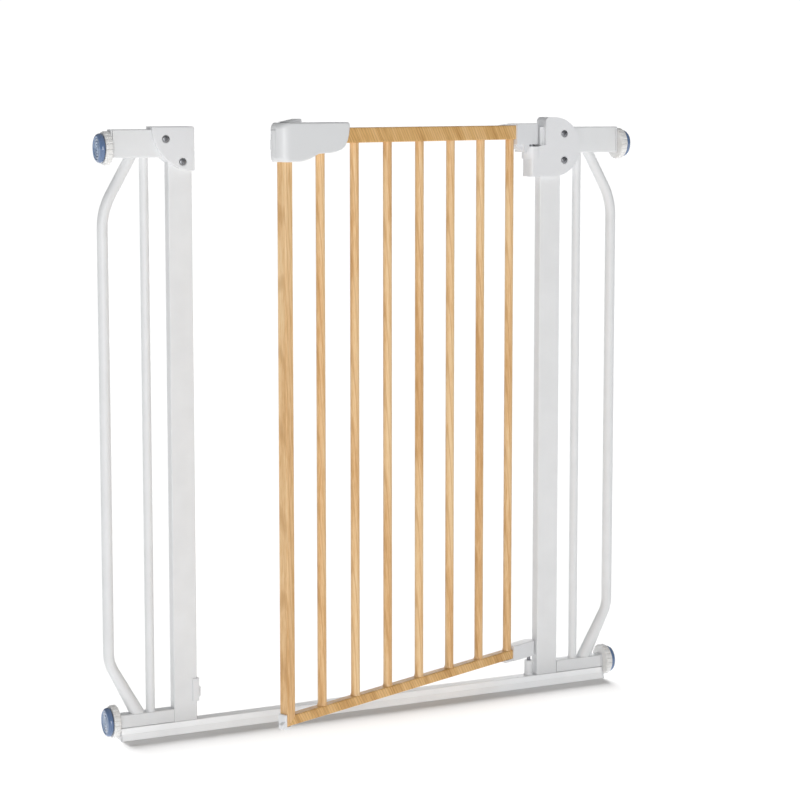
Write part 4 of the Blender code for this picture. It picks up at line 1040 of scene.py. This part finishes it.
WAVE_LENGTH = 0.314                 # one wave of the wave texture at scale 1, in metres
upright_film = oak_print_film(
    "oak_print_film_upright", -3, 5 * MM, ("D3A267", "E8BF8A", "F1D0A0", "B5803F")
)
rail_film = oak_print_film(
    "oak_print_film_on_rails", -30, 4 * MM, ("C4914D", "DDAF6C", "E8BE82", "8F602A")
)
OAK_UPRIGHT = (upright_film, "oak_film")
OAK_RAIL = (rail_film, "oak_film")

low, high = door_box("door_top_rail")
top_rail = square_tube(low, high, 0)
fit_piece("wrapped_top_rail", hang(top_rail), OAK_RAIL, "door", ["door_top_rail"])

stile_low, stile_high = door_box("door_free_stile")
rail_low, rail_high = door_box("door_bottom_rail")
mitre_in = Vector((stile_high.x, 0, rail_high.z))
mitre_out = Vector((stile_low.x, 0, rail_low.z))
mitre_run = (mitre_out - mitre_in).normalized()
mitre_up = Vector((-mitre_run.z, 0, mitre_run.x))
if mitre_up.z < 0:
    mitre_up = -mitre_up
for node, name, tube, film, way in (
    ("door_free_stile", "wrapped_free_stile", square_tube(stile_low, stile_high, 2), OAK_UPRIGHT, 1),
    ("door_bottom_rail", "wrapped_bottom_rail", square_tube(rail_low, rail_high, 0), OAK_RAIL, -1),
):
    bmesh.ops.bisect_plane(
        tube,
        geom=tube.verts[:] + tube.edges[:] + tube.faces[:],
        plane_co=mitre_in + mitre_up * way * 0.1 * MM,
        plane_no=mitre_up * way,
        clear_inner=True,
    )
    bmesh.ops.holes_fill(tube, edges=[e for e in tube.edges if e.is_boundary], sides=0)
    fit_piece(name, hang(tube), film, "door", [node])

bar_nodes = sorted(name for name in frame["nodes"] if name.startswith("door_bar_")) + ["door_hinge_bar"]
for node in bar_nodes:
    low, high = door_box(node)
    bar = upright_tube(low, high, (high.y - low.y) / 2)
    fit_piece("wrapped_" + node, hang(bar), OAK_UPRIGHT, "door", [node])


# ---- hinge arm on the door's top corner ------------------------------------------------------
# A moulded arm slips over the end of the top rail and turns on the upper pin.  A thin tongue runs
# out along the rail, and a ribbed gusset under its inner end stiffens it.
ARM_END = -40.9 * MM
RIB_COUNT = 4
RIB_INSET = 3.2 * MM
RIB_THICKNESS = 1.6 * MM
arm_low, arm_high = door_box("hinge_arm")
top_low, top_high = door_box("door_top_rail")
arm_base = top_high.z - 25.2 * MM
arm_radius = arm_high.y
arm_outline = [*arc((0, 0), arm_radius, -90, 90, 24), (ARM_END, arm_radius), (ARM_END, -arm_radius)]
arm = extruded(arm_outline, arm_base, arm_high.z, 2)
round_off(arm, edges_on(arm, 2, arm_high.z), 1.2 * MM)
round_off(arm, edges_on(arm, 2, arm_base), 0.4 * MM, 2)
tongue_outline = [
    (ARM_END + MM, top_high.z + 0.2 * MM), (ARM_END + MM, arm_high.z - 0.3 * MM),
    (ARM_END - 0.3 * MM, arm_high.z - 0.3 * MM), (arm_low.x, top_high.z + 0.8 * MM),
    (arm_low.x, top_high.z + 0.2 * MM),
]
tongue = extruded(tongue_outline, -5.4 * MM, 5.4 * MM, 1)
round_off(tongue, edges_along(tongue, 0, lambda m: m.z > top_high.z + 0.3 * MM), 0.5 * MM, 2)
arm = combine(arm, tongue, "UNION")
rib_room = 2 * (arm_radius - RIB_INSET) - RIB_THICKNESS
rib_outline = [
    (ARM_END + 0.6 * MM, arm_base + 0.5 * MM), (ARM_END + 1.6 * MM, arm_base - 1.2 * MM),
    (-26 * MM, arm_low.z + 0.6 * MM), (-22 * MM, arm_low.z + 0.6 * MM), (-22 * MM, arm_base + 0.5 * MM),
]
for number in range(RIB_COUNT):
    rib_y = -arm_radius + RIB_INSET + rib_room * number / (RIB_COUNT - 1)
    arm = combine(arm, extruded(rib_outline, rib_y, rib_y + RIB_THICKNESS, 1), "UNION")
cheek_outline = [
    (-26.5 * MM, arm_base + 0.5 * MM), (-26 * MM, arm_low.z), (-20 * MM, arm_low.z),
    (-14.5 * MM, arm_base + 0.5 * MM),
]
cheek = extruded(cheek_outline, -arm_radius + 0.4 * MM, arm_radius - 0.4 * MM, 1)
arm = combine(arm, cheek, "UNION")
fit_piece("moulded_hinge_arm", hang(arm), WHITE_PLASTIC, "door", ["hinge_arm"])


# ---- lower hinge bracket ---------------------------------------------------------------------
# Moulded in one with the lip that runs under the door's bottom rail; the lower pin turns in it.
LIP_END = -55.4 * MM
BRACKET_BORE = 2.8 * MM
BORE_DEPTH = 30 * MM
low, high = door_box("lower_hinge_bracket")
bracket_outline = [*arc((0, 0), high.y, -90, 90, 24), (ARM_END, high.y), (ARM_END, low.y)]
bracket = extruded(bracket_outline, low.z, high.z, 2)
round_off(bracket, edges_on(bracket, 2, high.z), 1.0 * MM)
round_off(bracket, edges_on(bracket, 2, low.z), 0.5 * MM, 2)
lip = block((LIP_END, -6 * MM, low.z + 0.3 * MM), (ARM_END + MM, 6 * MM, rail_low.z - 0.2 * MM))
round_off(lip, edges_along(lip, 2, lambda m: m.x < LIP_END + MM), 2.0 * MM, 3)
bracket = combine(bracket, lip, "UNION")
bore = rod(BRACKET_BORE, BORE_DEPTH, (0, 0, high.z - 4 * MM - BORE_DEPTH))
bracket = combine(bracket, bore, "DIFFERENCE")
fit_piece("moulded_lower_bracket", hang(bracket), WHITE_PLASTIC, "door", ["lower_hinge_bracket"])


# ---- catch on the door's lower free corner ---------------------------------------------------
# A small moulded shoe over the mitred corner, with a nose that meets the hook on the post.
low, high = door_box("door_lower_catch")
plate_out = stile_low.x - 3.8 * MM
shoe_outline = [
    (stile_low.x - 0.2 * MM, high.z), (plate_out + 0.8 * MM, high.z), (plate_out, high.z - 2.4 * MM),
    (plate_out, low.z + 1.2 * MM), (plate_out + 1.2 * MM, low.z), (stile_low.x + 3 * MM, low.z),
    (stile_low.x + 6 * MM, low.z + 1.2 * MM), (stile_low.x + 6 * MM, rail_low.z - 0.2 * MM),
    (stile_low.x - 0.2 * MM, rail_low.z - 0.2 * MM),
]
shoe = extruded(shoe_outline, low.y, high.y, 1)
round_off(shoe, edges_on(shoe, 1, low.y) + edges_on(shoe, 1, high.y), 0.6 * MM, 3)
NOSE_FRONT = -5.8 * MM
nose_base = low.z - 1.5 * MM
nose_outline = [
    (plate_out + 0.5 * MM, nose_base + 11.5 * MM), (low.x + 1.0 * MM, nose_base + 9.2 * MM),
    (low.x, nose_base + 8.0 * MM), (low.x, nose_base + 4.4 * MM),
    (low.x + 1.0 * MM, nose_base + 3.2 * MM), (plate_out + 0.5 * MM, nose_base + 2.2 * MM),
]
nose = extruded(nose_outline, NOSE_FRONT, -0.3 * MM, 1)
round_off(nose, edges_on(nose, 1, NOSE_FRONT), 0.6 * MM, 3)
shoe = combine(shoe, nose, "UNION")
fit_piece("moulded_catch_shoe", hang(shoe), WHITE_PLASTIC, "door", ["door_lower_catch"])


# ---- handle housing --------------------------------------------------------------------------
# Two moulded shells clamp the door's free top corner: thick at the end, swept up along the rail.
# Their upright corners are well rounded, as they are gripped.
GREY_PLASTIC = (
    moulded_abs("moulded_pale_grey_abs", "E3E4E5", 0.36, 0.8 * MM, 22 * MM, 0.30, 0.42), "grey_plastic"
)
handle_low, handle_high = door_box("handle_shell_front")
RIM_ROUND = 2.4 * MM
END_ROUND = 10.0 * MM
INNER_ROUND = 8.0 * MM
END_REACH = 15 * MM                 # how far along the shell the round corners draw it in
INNER_REACH = 22 * MM
RIM_REACH = 5 * MM
FOOT_REACH = 18 * MM
SECTION_DEPTHS = [depth * MM for depth in (10, 8, 6.2, 4.8, 3.6, 2.6, 1.8, 1.15, 0.65, 0.3, 0.08, 0)]


def handle_outline():
    """Side view: a flat top, rounded ends, and an underside that drops in two steps."""
    out, inner = handle_low.x, handle_high.x
    top, foot = handle_high.z, handle_low.z
    underside = (
        (0.6, 8), (2.2, 16), (4.8, 22), (9.5, 28), (17, 32.2), (27, 34.9), (38, 36.3),
        (50, 36.6), (57, 37.0), (62, 38.8), (68, 41.4), (76, 43.8), (86, 45.4),
    )
    return [
        *arc((out + 6 * MM, foot + 6 * MM), 6 * MM, 270, 180, 8),
        *arc((out + 8 * MM, top - 8 * MM), 8 * MM, 180, 90, 10),
        *arc((inner - 5 * MM, top - 5 * MM), 5 * MM, 90, 10, 6),
        *[(inner - back * MM, top - down * MM) for back, down in underside],
        (inner - 98 * MM, foot),
    ]


def drawn_in(round_size, depth):
    """How far a quarter-round corner has drawn in at a depth below the outer face."""
    if depth >= round_size:
        return 0.0
    return round_size - math.sqrt(round_size ** 2 - (round_size - depth) ** 2)


def handle_shell(inner, outer, way):
    """Sections of the side view from the parting plane out, drawn in by the round corners and rims."""
    shape = bmesh.new()
    sections = []
    for depth in [abs(outer - inner)] + SECTION_DEPTHS:
        ring = []
        for x, z in handle_outline():
            from_end, from_inner = x - handle_low.x, handle_high.x - x
            if from_end < END_REACH:
                x += drawn_in(END_ROUND, depth) * (1 - from_end / END_REACH)
            if from_inner < INNER_REACH:
                x -= drawn_in(INNER_ROUND, depth) * (1 - from_inner / INNER_REACH)
            from_top, from_foot = handle_high.z - z, z - handle_low.z
            if from_top < RIM_REACH:
                z -= drawn_in(RIM_ROUND, depth) * (1 - from_top / RIM_REACH)
            else:
                z += drawn_in(RIM_ROUND, depth) * max(0.0, 1 - from_foot / FOOT_REACH)
            ring.append(shape.verts.new((x, outer - way * depth, z)))
        sections.append([shape.edges.new(pair) for pair in zip(ring, ring[1:] + ring[:1])])
    for first, second in zip(sections, sections[1:]):
        bmesh.ops.bridge_loops(shape, edges=first + second)
    for section in (sections[0], sections[-1]):
        bmesh.ops.holes_fill(shape, edges=section, sides=0)
    bmesh.ops.recalc_face_normals(shape, faces=shape.faces)
    return shape


SLOT_OUT, SLOT_IN = -468 * MM, -441 * MM        # the slot in the top that the slide's leg runs in
SLOT_FRONT, SLOT_BACK = 7.0 * MM, 10.2 * MM
slide_low, slide_high = door_box("thumb_slide")
bolt_low, bolt_high = door_box("latch_bolt")
for face, way in (("front", -1), ("back", 1)):
    node = "handle_shell_" + face
    inner, outer = parting_and_face(*door_box(node), way)
    shell = handle_shell(inner, outer, way)
    mouth = (
        (bolt_low.x - 2 * MM, bolt_low.y - BOLT_GAP, bolt_low.z - BOLT_GAP),
        (bolt_high.x + MM, bolt_high.y + BOLT_GAP, bolt_high.z + BOLT_GAP),
    )
    leg_room = ((SLOT_OUT, SLOT_FRONT, bolt_high.z - MM), (SLOT_IN, SLOT_BACK, handle_high.z + MM))
    guide = (
        (handle_low.x - MM, bolt_low.y - BOLT_GAP, bolt_low.z - BOLT_GAP),
        (handle_low.x + 3.4 * MM, bolt_high.y + BOLT_GAP, handle_high.z - 11.5 * MM),
    )
    slit = (
        (handle_low.x - MM, 0.8 * MM, handle_high.z - 9.0 * MM),
        (handle_low.x + 3.2 * MM, 9.8 * MM, handle_high.z - 7.4 * MM),
    )
    for cut in (mouth, leg_room, guide, slit) if way > 0 else ():
        shell = combine(shell, block(*cut), "DIFFERENCE")
    fit_piece("moulded_" + node, hang(shell), GREY_PLASTIC, "door", [node])


# ---- thumb slide and latch bolt --------------------------------------------------------------
# The slide on top of the handle is drawn back with the thumb, and its leg carries the bolt along.
WEDGE_BASE = handle_high.z + 0.4 * MM
LEG_OUT, LEG_IN = -458.9 * MM, -446.9 * MM
LEG_FRONT, LEG_BACK = 7.4 * MM, 9.6 * MM
wedge_outline = [
    (slide_low.x, WEDGE_BASE), (slide_high.x, WEDGE_BASE),
    (slide_high.x - 0.3 * MM, slide_high.z - 0.9 * MM), (slide_high.x - 1.0 * MM, slide_high.z),
    (slide_high.x - 1.8 * MM, slide_high.z), (slide_low.x, handle_high.z + 0.8 * MM),
]
wedge = extruded(wedge_outline, slide_low.y, slide_high.y, 1)
round_off(wedge, edges_on(wedge, 1, slide_low.y) + edges_on(wedge, 1, slide_high.y), 0.5 * MM, 3)
leg = block((LEG_OUT, LEG_FRONT, bolt_high.z + 0.3 * MM), (LEG_IN, LEG_BACK, handle_high.z + 0.8 * MM))
wedge = combine(wedge, leg, "UNION")
fit_piece("moulded_thumb_slide", hang(wedge), GREY_PLASTIC, "latch", ["thumb_slide"])

nose = max(bolt_low.x, handle_low.x + 0.8 * MM)
bolt = block((nose, bolt_low.y, bolt_low.z), bolt_high)
round_off(bolt, edges_along(bolt, 2, lambda m: m.x < nose + MM), 1.0 * MM, 3)
round_off(bolt, edges_along(bolt, 1, lambda m: m.x < nose + MM), 1.2 * MM, 3)
fit_piece("moulded_bolt", hang(bolt), GREY_PLASTIC, "latch", ["latch_bolt"])
